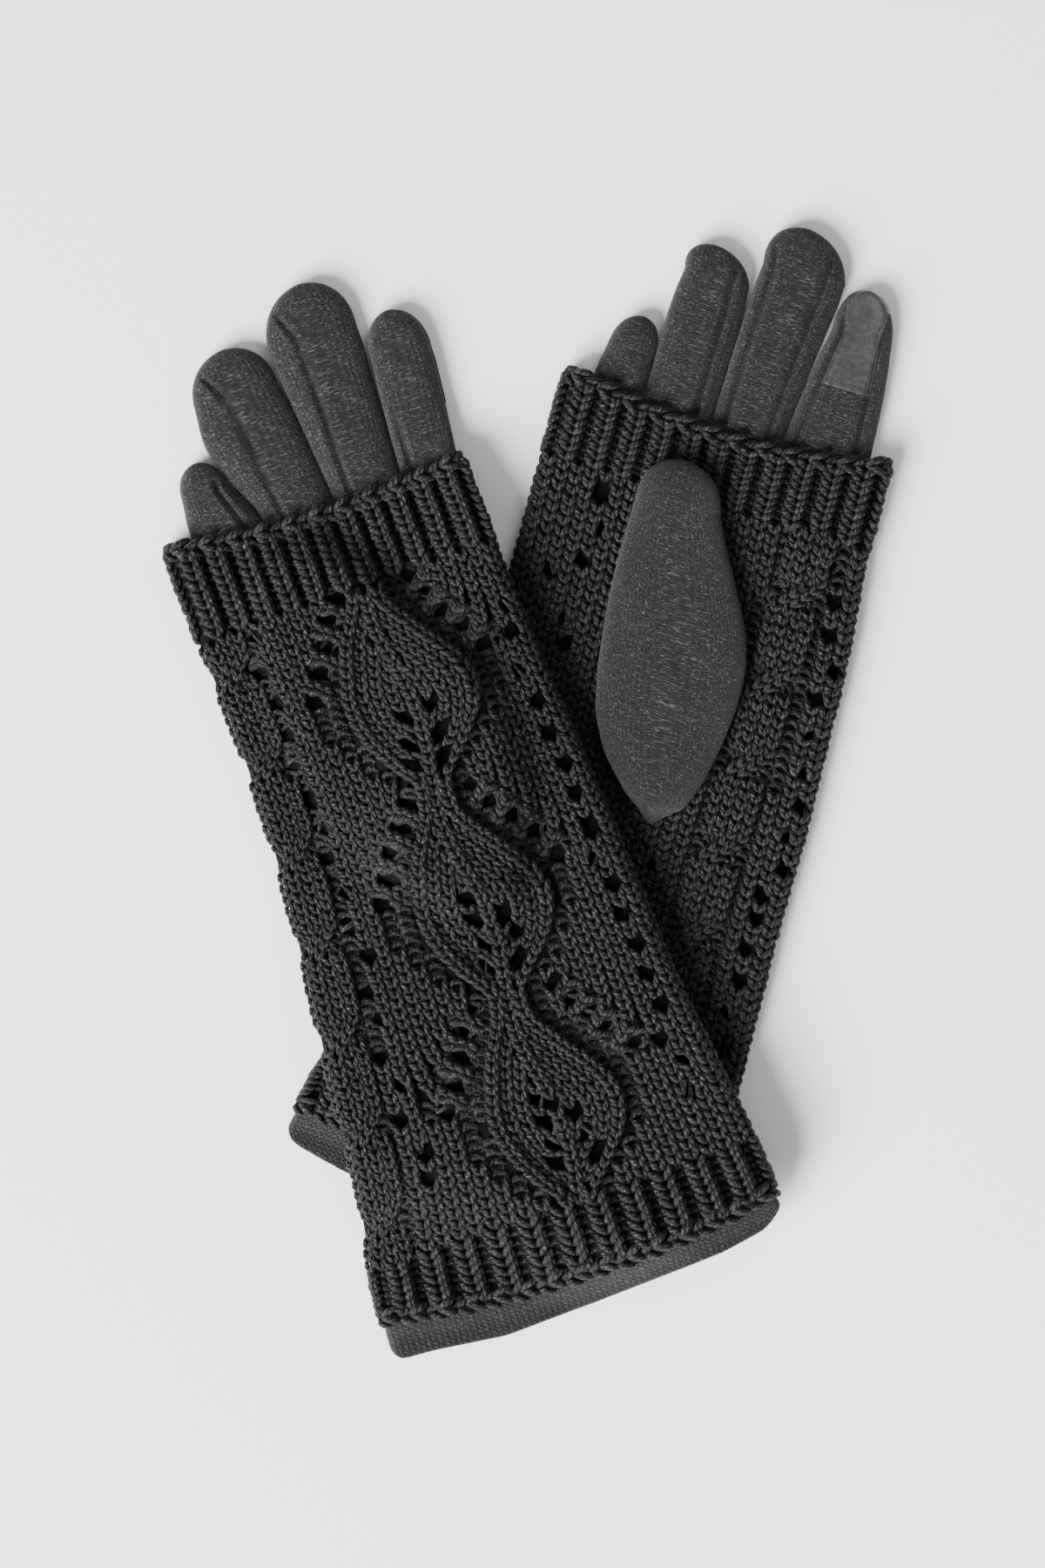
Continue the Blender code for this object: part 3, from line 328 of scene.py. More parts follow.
@dataclass(frozen=True)
class GlovePlan:
    """The plan of one glove and its place on the table."""

    side: Side
    sleeve: Rows
    fingers: tuple[Finger, ...]
    top_rim: tuple[float, float, float]
    bottom_rim: tuple[float, float, float]
    cuff: Rows
    turn: float
    origin: tuple[float, float]

    @property
    def palm_up(self) -> bool:
        """True for the right glove, whose palm shows."""
        return self.side is Side.RIGHT

    def fold(self, v: Array | float, column: int) -> Array:
        """The left (1) or right (2) fold of the sleeve."""
        return table(self.sleeve, v, column, 9.0)

    def rim(self, u: Array | float, rows: tuple[float, float, float]) -> Array:
        """The v of a rim across the sleeve: a curve through its left, middle and right heights."""
        left, middle, right = rows
        u = np.asarray(u, float)
        share = u / np.where(u > 0, self.fold(middle, 2), -self.fold(middle, 1))
        return middle + (np.where(u > 0, right, left) - middle) * share * share

    def to_table(self, u: Array, v: Array) -> tuple[Array, Array]:
        """Plan points on the table."""
        cosine, sine = math.cos(self.turn), math.sin(self.turn)
        return u * cosine - v * sine + self.origin[0], u * sine + v * cosine + self.origin[1]

    def to_plan(self, x: Array, y: Array) -> tuple[Array, Array]:
        """Table points in this plan."""
        cosine, sine = math.cos(self.turn), math.sin(self.turn)
        x, y = x - self.origin[0], y - self.origin[1]
        return x * cosine + y * sine, y * cosine - x * sine

    def lift(self, u: Array, v: Array) -> Array:
        """How far the cloth is raised at plan points by what lies under it."""
        if self.palm_up:
            return np.zeros(np.broadcast(u, v).shape)
        under = RIGHT_PLAN.to_plan(*self.to_table(u, v))
        climb = CLIMB_HEIGHT * (1.0 - ease(outside_distance(*under, UNDER_OUTLINE) / CLIMB_RUN))
        thumb = THUMB_LIFT * (1.0 - ease(outside_distance(u, v, THUMB_HULL) / THUMB_RUN))
        return climb + thumb

    def world(self, u: Array, v: Array, z: Array, drop: float = 0.0) -> Array:
        """Places plan points in the scene.

        Args:
            u: Across the hand.
            v: Along the hand.
            z: Height in the lying stack.
            drop: How far below the lifted stack the points lie.

        Returns:
            Points in metres, one more axis than the arguments.
        """
        x, y = self.to_table(u, v)
        return np.stack([x, y, z + self.lift(u, v) - drop], axis=-1) * MM


RIGHT_PLAN = GlovePlan(
    side=Side.RIGHT,
    sleeve=(
        (-12.0, -75.0, 62.2), (14.0, -69.5, 62.8), (42.0, -62.5, 62.4), (70.0, -58.5, 61.0),
        (98.0, -57.0, 59.6), (126.0, -56.4, 59.3), (154.0, -56.6, 57.6), (182.0, -57.3, 56.2),
        (221.0, -58.6, 51.6), (256.0, -59.4, 50.4),
    ),
    fingers=(
        Finger("little", ((243.0, -49.8, -49.8, -34.4, -32.4), (262.0, -48.0, -48.0, -35.2, -32.8)),
               (-39.6, 272.0)),
        Finger("ring", ((243.0, -31.8, -29.0, -14.6, -9.3), (278.0, -32.4, -29.8, -14.8, -9.4),
                        (291.0, -31.6, -29.2, -15.4, -10.0)), (-24.0, 300.6)),
        Finger("middle", ((243.0, -8.7, -4.5, 9.4, 13.9), (272.0, -8.7, -4.6, 10.9, 16.4),
                          (300.0, -8.0, -4.2, 13.0, 19.4)), (2.6, 314.2)),
        Finger("index", ((243.0, 14.5, 18.2, 38.4, 43.4), (268.0, 17.0, 21.0, 36.8, 41.6),
                         (286.0, 19.4, 23.0, 35.2, 39.2)), (27.6, 301.0)),
    ),
    top_rim=(249.0, 242.4, 249.6),
    bottom_rim=(-1.8, -7.0, -0.6),
    cuff=((0.0, -9.0), (0.03, -13.2), (0.075, -14.8), (0.18, -17.8), (0.4, -18.6), (0.6, -18.0),
          (0.85, -15.6), (0.97, -11.6), (1.0, -7.0)),
    turn=math.radians(-17.0),
    origin=(-4.126, -119.185),
)
LEFT_PLAN = GlovePlan(
    side=Side.LEFT,
    sleeve=(
        (-12.0, -69.0, 67.8), (14.0, -66.0, 66.0), (42.0, -60.3, 62.8), (70.0, -58.0, 59.4),
        (98.0, -54.8, 58.0), (126.0, -52.4, 56.6), (154.0, -50.4, 54.6), (182.0, -49.8, 52.4),
        (221.0, -51.2, 50.4), (256.0, -52.0, 49.6),
    ),
    fingers=(
        Finger("little", ((246.0, -41.2, -41.2, -22.6, -16.9), (256.0, -41.4, -41.4, -25.2, -19.3),
                          (266.0, -40.4, -40.4, -28.8, -24.8)), (-32.6, 276.0)),
        Finger("ring", ((246.0, -16.2, -10.8, 3.4, 5.7), (256.0, -18.5, -11.8, 2.8, 5.1),
                        (266.0, -23.8, -13.2, 1.8, 4.2), (271.0, -24.6, -13.8, 1.4, 3.8),
                        (278.0, -27.8, -14.6, 0.8, 3.2), (292.0, -27.0, -16.4, -1.6, 1.0)),
               (-12.2, 307.4)),
        Finger("middle", ((246.0, 6.3, 11.2, 25.4, 27.9), (272.0, 3.9, 11.6, 27.0, 29.4),
                          (302.0, 1.6, 11.4, 28.6, 31.2)), (17.6, 319.2)),
        Finger("index", ((246.0, 28.5, 32.4, 46.8, 46.8), (266.0, 29.8, 33.0, 49.2, 49.2),
                         (288.0, 31.7, 33.4, 51.4, 51.4)), (41.6, 302.0)),
    ),
    top_rim=(253.2, 247.6, 250.0),
    bottom_rim=(-2.4, -10.4, -4.4),
    cuff=((0.0, -12.0), (0.02, -16.2), (0.11, -17.0), (0.28, -20.2), (0.5, -19.4), (0.72, -17.6),
          (0.83, -16.8), (0.94, -14.6), (1.0, -9.0)),
    turn=math.radians(19.3),
    origin=(15.474, -144.385),
)


# ---------------------------------------------------------------------------------------------
# Finishes
# ---------------------------------------------------------------------------------------------


class NodeKit:
    """Adds nodes to a tree and wires them."""

    def __init__(self, tree: bpy.types.NodeTree) -> None:
        """Starts on a tree of nodes."""
        self.tree = tree

    def fill(self, node: bpy.types.Node, values: dict[str | int, Value]) -> None:
        """Gives sockets their values, or wires them to other sockets."""
        for name, value in values.items():
            if isinstance(value, Socket):
                self.tree.links.new(value, node.inputs[name])
            else:
                node.inputs[name].default_value = value

    def add(self, kind: str, values: dict[str | int, Value] | None = None, **settings: object
            ) -> bpy.types.Node:
        """Adds one node.

        Args:
            kind: The node's type, without its first word.
            values: Sockets by name or number, given a value or a socket to be wired to.
            settings: Properties of the node.

        Returns:
            The new node.
        """
        node = self.tree.nodes.new("Shader" + kind)
        for name, value in settings.items():
            setattr(node, name, value)
        self.fill(node, values or {})
        return node

    def group(self, tree: bpy.types.NodeTree, **values: Value) -> bpy.types.NodeOutputs:
        """Adds a shared group and gives its outputs."""
        return self.add("NodeGroup", values, node_tree=tree).outputs

    def maths(self, operation: str, first: Value, second: Value = 0.0) -> Socket:
        """Adds a Math node and gives its result."""
        return self.add("NodeMath", {0: first, 1: second}, operation=operation).outputs[0]

    def mix(self, share: Value, first: Value, second: Value) -> Socket:
        """Adds a colour Mix node and gives its result."""
        return self.add("NodeMix", {0: share, 6: first, 7: second}, data_type="RGBA").outputs[2]

    def span(self, value: Value, low: float, high: float, least: float = 0.0, most: float = 1.0) -> Socket:
        """Maps a value from one range to another, held at its ends."""
        limits = {"From Min": low, "From Max": high, "To Min": least, "To Max": most}
        return self.add("NodeMapRange", {"Value": value, **limits}).outputs["Result"]

    def noise(self, place: Value, scale: Value, **more: float) -> Socket:
        """Adds a Noise texture and gives its value."""
        return self.add("NodeTexNoise", {"Vector": place, "Scale": scale, **more}).outputs["Fac"]

    def shade(self, colour: Value, tone: Value) -> Socket:
        """Darkens or brightens a colour by a factor."""
        return self.add("NodeVectorMath", {0: colour, 3: tone}, operation="SCALE").outputs[0]

    def bump(self, height: Value, distance: float, **normal: Value) -> Socket:
        """Adds a Bump node, on another normal where it has one, and gives its normal."""
        return self.add("NodeBump", {"Height": height, "Distance": distance, **normal}).outputs["Normal"]


COLOUR, NUMBER, POINT = "NodeSocketColor", "NodeSocketFloat", "NodeSocketVector"


class SharedGroups:
    """The node groups that several finishes use, each built once."""

    def __init__(self) -> None:
        """Builds the groups."""
        self.heather = self.build_heather()
        self.fine_knit = self.build_fine_knit()
        self.ply_twist = self.build_ply_twist()

    def start(self, name: str, inputs: dict[str, str], outputs: dict[str, str]) -> tuple:
        """Makes an empty shader node group with named sockets.

        Args:
            name: The group's name.
            inputs: Socket types by name.
            outputs: Socket types by name.

        Returns:
            The group, its kit, its given sockets and its output node.
        """
        group = bpy.data.node_groups.new(name, "ShaderNodeTree")
        for direction, sockets in (("INPUT", inputs), ("OUTPUT", outputs)):
            for label, kind in sockets.items():
                group.interface.new_socket(label, in_out=direction, socket_type=kind)
        given = group.nodes.new("NodeGroupInput")
        return group, NodeKit(group), given.outputs, group.nodes.new("NodeGroupOutput")

    def build_heather(self) -> bpy.types.NodeTree:
        """The mixed fibres of a melange yarn: patches of two tones, and bright single fibres."""
        inputs = {"Vector": POINT, "Dark": COLOUR, "Mid": COLOUR, "Light": COLOUR, "Scale": NUMBER,
                  "Flecks": NUMBER}
        group, kit, given, result = self.start("heather", inputs, {"Color": COLOUR, "Fibre": NUMBER})
        broad = kit.noise(given["Vector"], given["Scale"], Detail=3.0, Roughness=0.62)
        fine_scale = kit.maths("MULTIPLY", given["Scale"], 1.9)
        fine = kit.noise(given["Vector"], fine_scale, Detail=2.0, Roughness=0.6, Distortion=1.6)
        body = kit.mix(kit.span(broad, 0.36, 0.64), given["Dark"], given["Mid"])
        share = kit.maths("MULTIPLY", kit.span(fine, 0.56, 0.66), given["Flecks"])
        kit.fill(result, {"Color": kit.mix(share, body, given["Light"]),
                          "Fibre": kit.maths("ADD", broad, fine)})
        return group

    def build_fine_knit(self) -> bpy.types.NodeTree:
        """Tiny knit loops of a machine-made jersey, in the cloth's own millimetres."""
        inputs = {"Vector": POINT, "Wale": NUMBER, "Course": NUMBER, "Waver": NUMBER}
        group, kit, given, result = self.start("fine_knit", inputs, {"Height": NUMBER})
        stray = kit.maths("SUBTRACT", kit.noise(given["Vector"], 0.35, Detail=2.0), 0.5)
        drift = kit.maths("MULTIPLY", stray, given["Waver"])
        place = kit.add("NodeSeparateXYZ", {"Vector": given["Vector"]}).outputs
        across = kit.maths("DIVIDE", kit.maths("ADD", place["X"], drift), given["Wale"])
        along = kit.maths("DIVIDE", kit.maths("ADD", place["Y"], drift), given["Course"])
        # Each wale is a zigzag: its two legs slope opposite ways.
        slope = kit.maths("ADD", along, kit.maths("MULTIPLY", kit.maths("PINGPONG", across, 0.5), 1.4))
        legs = kit.maths("SINE", kit.maths("MULTIPLY", slope, 2.0 * math.pi))
        furrow = kit.maths("COSINE", kit.maths("MULTIPLY", across, 2.0 * math.pi))
        kit.fill(result, {"Height": kit.maths("MULTIPLY", kit.maths("SUBTRACT", legs, furrow), 0.5)})
        return group

    def build_ply_twist(self) -> bpy.types.NodeTree:
        """The twisted plies of yarn whose map runs along it and round it, and a point along a ply."""
        inputs = {"Vector": POINT, "Stray": NUMBER, "Turns": NUMBER, "Plies": NUMBER}
        group, kit, given, result = self.start("ply_twist", inputs, {"Height": NUMBER, "Fibre": POINT})
        place = kit.add("NodeSeparateXYZ", {"Vector": given["Vector"]}).outputs
        along = kit.maths("MULTIPLY", place["X"], given["Turns"])
        twist = kit.maths("ADD", along, kit.maths("MULTIPLY", place["Y"], given["Plies"]))
        wave = kit.maths("SINE", kit.maths("MULTIPLY", twist, math.pi))
        point = {"X": kit.maths("MULTIPLY", twist, 2.4), "Y": along,
                 "Z": kit.maths("MULTIPLY", given["Stray"], 30.0)}
        kit.fill(result, {"Height": kit.maths("ABSOLUTE", wave),
                          "Fibre": kit.add("NodeCombineXYZ", point).outputs[0]})
        return group


def grey(value: float, warmth: float = 0.0) -> tuple[float, float, float, float]:
    """A grey, a little warm or cool."""
    return (value * (1.0 + warmth), value, value * (1.0 - warmth), 1.0)


class Dressing:
    """A new material, with what its nodes start from."""

    def __init__(self, name: str, tone: float) -> None:
        """Makes the material, with the grey that a plain viewport shows."""
        self.material = bpy.data.materials.new(name)
        self.material.use_nodes = True
        self.material.diffuse_color = grey(tone)
        self.kit = NodeKit(self.material.node_tree)
        self.shader = self.material.node_tree.nodes["Principled BSDF"]

    def place(self, output: str) -> Socket:
        """Where a point lies: on the object, in metres, or on the piece's own map."""
        return self.kit.add("NodeTexCoord").outputs[output]

    def seam_shade_and_stitch_tone(self, darkest: float) -> Socket:
        """A tone of 1 that falls to its darkest on a seam, for painted shade in seam grooves and for dark
        stitches.
        """
        seam = self.kit.add("NodeAttribute", attribute_name="seam").outputs["Fac"]
        return self.kit.span(seam, 0.0, 1.0, 1.0, darkest)

    def finish(self, colour: Value, normal: Value, roughness: float, specular: float, sheen: float = 0.0,
               sheen_roughness: float = 0.5) -> bpy.types.Material:
        """Wires colour and normal to the shader and sets the rest on it.

        Args:
            colour: The base colour.
            normal: The bumped normal.
            roughness: How dull the surface is.
            specular: The level of its reflection.
            sheen: How much its fuzz catches light.
            sheen_roughness: How wide that fuzz scatters.

        Returns:
            The material.
        """
        self.kit.fill(self.shader, {
            "Base Color": colour, "Normal": normal, "Roughness": roughness, "Specular IOR Level": specular,
            "Sheen Weight": sheen, "Sheen Roughness": sheen_roughness,
        })
        return self.material


@dataclass(frozen=True)
class YarnFinish:
    """Thick plied yarn in mixed charcoal fibres, with a soft gleam along its plies and painted shade in their
    grooves.
    """

    name: str = "lace_knit_yarn"
    dark: float = 0.0006
    mid: float = 0.003
    light: float = 0.095
    flecks: float = 0.9
    fleck_scale: float = 0.85
    stray_scale: float = 160.0
    turns: float = 3.6
    plies: float = 3.0
    # How dark the painted shade in the grooves between the plies is.
    groove: float = 0.45
    ply_depth: float = 0.00028
    fibre_depth: float = 0.00018

    def build(self, shared: SharedGroups) -> bpy.types.Material:
        """Makes the material of the yarn."""
        dressing = Dressing(self.name, self.mid)
        kit = dressing.kit
        stray = kit.noise(dressing.place("Object"), self.stray_scale, Detail=1.0)
        ply = kit.group(shared.ply_twist, Vector=dressing.place("UV"), Stray=stray, Turns=self.turns,
                        Plies=self.plies)
        heather = kit.group(shared.heather, Vector=ply["Fibre"], Dark=grey(self.dark),
                            Mid=grey(self.mid, -0.02), Light=grey(self.light, -0.01),
                            Scale=self.fleck_scale, Flecks=self.flecks)
        # Painted shade: the colour darkens in the grooves between the plies.
        colour = kit.shade(heather["Color"], kit.span(ply["Height"], 0.0, 0.5, self.groove, 1.0))
        plies = kit.bump(ply["Height"], self.ply_depth)
        fibres = kit.bump(heather["Fibre"], self.fibre_depth, Normal=plies)
        return dressing.finish(colour, fibres, roughness=0.5, specular=0.14, sheen=0.03,
                               sheen_roughness=0.45)


@dataclass(frozen=True)
class ShadeSheetFinish:
    """Painted shade: a dark sheet that stands for the shade inside the knitting, seen between the stitches.
    """

    name: str = "lace_knit_painted_shade"
    dark: float = 0.0015
    light: float = 0.004
    scale: float = 900.0

    def build(self, shared: SharedGroups) -> bpy.types.Material:
        """Makes the material of the ground."""
        dressing = Dressing(self.name, self.dark)
        heather = dressing.kit.group(shared.heather, Vector=dressing.place("Object"), Dark=grey(self.dark),
                                     Mid=grey(self.light), Light=grey(self.light), Scale=self.scale,
                                     Flecks=0.5)
        normal = dressing.kit.bump(heather["Fibre"], 0.0004)
        return dressing.finish(heather["Color"], normal, roughness=0.95, specular=0.1)


@dataclass(frozen=True)
class JerseyFinish:
    """Brushed jersey in mixed charcoal fibres, with fine loops. An attribute named seam paints shade into its
    seams.
    """

    name: str = "brushed_jersey"
    dark: float = 0.0004
    mid: float = 0.004
    light: float = 0.076
    flecks: float = 0.85
    scale: float = 620.0
    # The fibres of a jersey lie across it, so its flecks are longer that way.
    stretch: tuple[float, float, float] = (0.00085, 0.0019, 0.001)
    wale: float = 1.15
    course: float = 0.85
    waver: float = 1.4
    loop_depth: float = 0.0001
    # How dark the painted shade in the loops' furrows gets, and in the seams.
    loop_shade: float = 0.66
    seam_shade: float = 0.15
    fibre_depth: float = 0.0003
    specular: float = 0.2
    sheen: float = 0.1

    def build(self, shared: SharedGroups) -> bpy.types.Material:
        """Makes the material of the jersey."""
        dressing = Dressing(self.name, self.mid)
        kit, place = dressing.kit, dressing.place("UV")
        fibres_at = kit.add("NodeVectorMath", {0: place, 1: self.stretch}, operation="MULTIPLY")
        heather = kit.group(shared.heather, Vector=fibres_at.outputs[0], Dark=grey(self.dark),
                            Mid=grey(self.mid, -0.01), Light=grey(self.light), Scale=self.scale,
                            Flecks=self.flecks)
        loops = kit.group(shared.fine_knit, Vector=place, Wale=self.wale, Course=self.course,
                          Waver=self.waver)["Height"]
        # Painted shade in the seams and in the furrows between the loops, and painted highlight on their
        # crests.
        tone = kit.maths("MULTIPLY", dressing.seam_shade_and_stitch_tone(self.seam_shade),
                         kit.span(loops, -1.0, 1.0, self.loop_shade, 1.12))
        fine = kit.bump(loops, self.loop_depth)
        fibres = kit.bump(heather["Fibre"], self.fibre_depth, Normal=fine)
        return dressing.finish(kit.shade(heather["Color"], tone), fibres, roughness=0.75,
                               specular=self.specular, sheen=self.sheen)


@dataclass(frozen=True)
class PatchFinish:
    """Smooth coated cloth of the touch-screen patch, with a broad painted gleam, and dark stitches along its
    hem.
    """

    name: str = "touch_patch_cloth"
    dark: float = 0.018
    mid: float = 0.032
    light: float = 0.06
    scale: float = 600.0
    painted_gleam_scale: float = 75.0

    def build(self, shared: SharedGroups) -> bpy.types.Material:
        """Makes the material of the patch."""
        dressing = Dressing(self.name, self.mid)
        kit, place = dressing.kit, dressing.place("Object")
        heather = kit.group(shared.heather, Vector=place, Dark=grey(self.dark, 0.03),
                            Mid=grey(self.mid, 0.03), Light=grey(self.light, 0.02), Scale=self.scale,
                            Flecks=0.3)
        # Painted highlight and shade: broad patches lighter and darker, standing for the gleam across the
        # patch.
        painted_gleam = kit.noise(place, self.painted_gleam_scale, Detail=1.0)
        tone = kit.maths("MULTIPLY", dressing.seam_shade_and_stitch_tone(0.3),
                         kit.span(painted_gleam, 0.35, 0.65, 0.75, 1.35))
        normal = kit.bump(heather["Fibre"], 0.00006)
        return dressing.finish(kit.shade(heather["Color"], tone), normal, roughness=0.3, specular=0.5)


@dataclass(frozen=True)
class FloorFinish:
    """The plain pale surface that the gloves lie on, a little cool."""

    name: str = "pale_floor"
    tone: float = 0.8
    tint: tuple[float, float, float] = (1.003, 0.985, 1.04)

    def build(self) -> bpy.types.Material:
        """Makes the material of the floor."""
        dressing = Dressing(self.name, self.tone)
        colour = tuple(self.tone * share for share in self.tint) + (1.0,)
        dressing.kit.fill(dressing.shader, {"Base Color": colour, "Roughness": 0.9})
        return dressing.material


class Finishes:
    """Every finish of the pair, made once."""

    def __init__(self) -> None:
        """Builds the materials."""
        shared = SharedGroups()
        self.yarn = YarnFinish().build(shared)
        # A dark sheet of painted shade, seen between the stitches.
        self.shade_sheet = ShadeSheetFinish().build(shared)
        self.jersey = JerseyFinish().build(shared)
        # The cuff's ribs, with deep painted shade in their furrows.
        self.cuff = JerseyFinish("brushed_jersey_cuff", mid=0.003, light=0.048, wale=1.9, course=1.5,
                                 loop_depth=0.0003, loop_shade=0.3).build(shared)
        # Painted shade: the jersey inside the sleeve, as dark as the shade seen through the eyelets.
        self.inside = JerseyFinish("brushed_jersey_painted_shade", light=0.01, specular=0.05, sheen=0.0
                                   ).build(shared)
        self.patch = PatchFinish().build(shared)
        self.floor = FloorFinish().build()


# ---------------------------------------------------------------------------------------------
# Yarn
# ---------------------------------------------------------------------------------------------

# A leg of a knit stitch, and the two arcs of a purl stitch: across and along it as shares of its size,
# height in millimetres, and thickness.
KNIT_LEG = (
    (0.03, -0.68, -1.0, 0.5), (0.12, -0.36, 0.12, 0.94), (0.25, 0.0, 0.5, 1.06),
    (0.38, 0.36, 0.22, 0.94), (0.46, 0.68, -0.95, 0.5),
)
PURL_HEAD = (
    (-0.56, -0.24, -0.6, 0.74), (-0.32, 0.12, 0.05, 1.0), (0.0, 0.28, 0.3, 1.06), (0.32, 0.12, 0.05, 1.0),
    (0.56, -0.24, -0.6, 0.74),
)
PURL_FOOT = (
    (-0.52, -0.3, -0.75, 0.8), (-0.28, -0.6, -0.3, 1.0), (0.0, -0.72, -0.1, 1.06), (0.28, -0.6, -0.3, 1.0),
    (0.52, -0.3, -0.75, 0.8),
)
PLAIN_LEG = (
    (0.08, -0.8, -0.7, 0.75), (0.16, -0.25, 0.2, 1.12), (0.34, 0.3, 0.25, 1.1), (0.42, 0.8, -0.6, 0.7),
)
# How uneven the stitches are: the column of the chart and its spread.
PLAIN_PURL = ((-0.56, -0.2, -0.5, 0.8), (-0.2, 0.2, 0.2, 1.1), (0.2, 0.2, 0.2, 1.1), (0.56, -0.2, -0.5, 0.8))
# How much stitches differ, by the columns of their table: across, along, lean and height. Then how much
# the yarn's thickness does, and the width of a stitch whose yarn is as thick as its shape says.
STITCH_UNEVENNESS = ((0, 0.1), (1, 0.14), (4, 0.035), (5, 0.1))
YARN_UNEVENNESS = 0.05
USUAL_WIDTH = 4.6


class Stretch(Enum):
    """The stretches of knitting that have a chart. The number starts a chart's random draws."""

    HAND_RIB = 11
    WRIST_RIB = 12
    HAND_RIM = 21
    WRIST_RIM = 22
    BACKGROUND = 31
    LEAVES = 41
    PALM = 61
    PLAIN = 71


class Chart:
    """Where each stitch of a stretch of knitting lies."""

    def __init__(self, stretch: Stretch) -> None:
        """Starts an empty chart."""
        self.rows: dict[Loop, list[Array]] = {Loop.KNIT: [], Loop.PURL: []}
        self.chance = np.random.default_rng(stretch.value)

    def add(self, loop: Loop, across: Array, along: Array, width: Array | float, row: Array | float,
            lean: Array | float, height: Array | float) -> None:
        """Adds stitches.

        Args:
            loop: Which look they have.
            across: Where their middles lie across the face.
            along: Where their middles lie along the face.
            width: How wide each is.
            row: How long each is.
            lean: Angle of their wale from the length of the face, towards higher across.
            height: How far each is raised.
        """
        stitches = np.stack(np.broadcast_arrays(across, along, width, row, lean, height), axis=-1)
        self.rows[loop].append(stitches.reshape(-1, 6).astype(float))

    def stitches(self, loop: Loop) -> Array:
        """All the stitches of one look, a little uneven."""
        if not self.rows[loop]:
            return np.zeros((0, 6))
        rows = np.concatenate(self.rows[loop])
        for column, spread in STITCH_UNEVENNESS:
            rows[:, column] += self.chance.normal(0.0, spread, len(rows))
        return rows


@dataclass
class Eyelets:
    """Holes in the knitting: middle, half width, half length and sideways lean of each."""

    holes: Array
    yarn: float = 0.9
    reach: float = 3.2

    def push(self, across: Array, along: Array) -> tuple[Array, Array]:
        """Moves points of yarn out of the holes, and their neighbours a little.

        Args:
            across: Points across the face.
            along: Points along the face.

        Returns:
            The moved points.
        """
        across, along = across.copy(), along.copy()
        for u, v, half_u, half_v, lean in self.holes:
            wide, long = half_u + self.yarn, half_v + self.yarn
            near = (np.abs(across - u) < self.reach * wide) & (np.abs(along - v) < self.reach * long)
            off = along[near] - v
            du, dv = (across[near] - u - lean * off) / wide, off / long
            reach = np.maximum(np.hypot(du, dv), 0.05)
            scale = np.power(reach ** 4 + 1.0, 0.25) / reach
            across[near] = u + lean * off + du * scale * wide
            along[near] = v + dv * scale * long
        return across, along

    def hit(self, across: Array, along: Array, share: float = 0.72) -> Array:
        """True where a point lies inside a hole's middle."""
        found = np.zeros(np.shape(across), bool)
        for u, v, half_u, half_v, lean in self.holes:
            away = across - u - lean * (along - v)
            found |= np.hypot(away / (half_u + self.yarn), (along - v) / (half_v + self.yarn)) < share
        return found


@dataclass(frozen=True)
class FlatTube:
    """A knitted tube lying flat: two faces joined by round folds. Heights are over the yarn's middle."""

    plan: GlovePlan
    half: float = 4.1
    inset: float = 1.15

    def spread(self, along: Array | float) -> tuple[Array, Array]:
        """Where a face begins and ends across, measured along the cloth to the middle of its folds."""
        extra = self.half * (math.pi / 2 - 1.0) - self.inset
        return self.plan.fold(along, 1) - extra, self.plan.fold(along, 2) + extra

    def drape(self, across: Array, along: Array, height: Array, face: Face, least: Array | float) -> Array:
        """Puts points of the cloth on the lying tube.

        Args:
            across: Distance across the face, measured along the cloth.
            along: Distance along the face.
            height: Distance out from the middle of the yarn.
            face: Which face the points are on.
            least: The lowest height that they may lie at.

        Returns:
            Points in metres.
        """
        low = self.plan.fold(along, 1) + self.inset + self.half
        high = self.plan.fold(along, 2) - self.inset - self.half
        past = np.stack(np.broadcast_arrays(low - across, across - high)) / self.half
        turn = np.clip(past, 0.0, math.pi).sum(axis=0)
        reach = self.half + height
        flat = np.clip(across, low, high)
        u = flat + np.where(across < low, -1.0, 1.0) * reach * np.sin(turn)
        z = np.maximum(MIDDLE + face.value * reach * np.cos(turn), least)
        return self.plan.world(u, along, z)


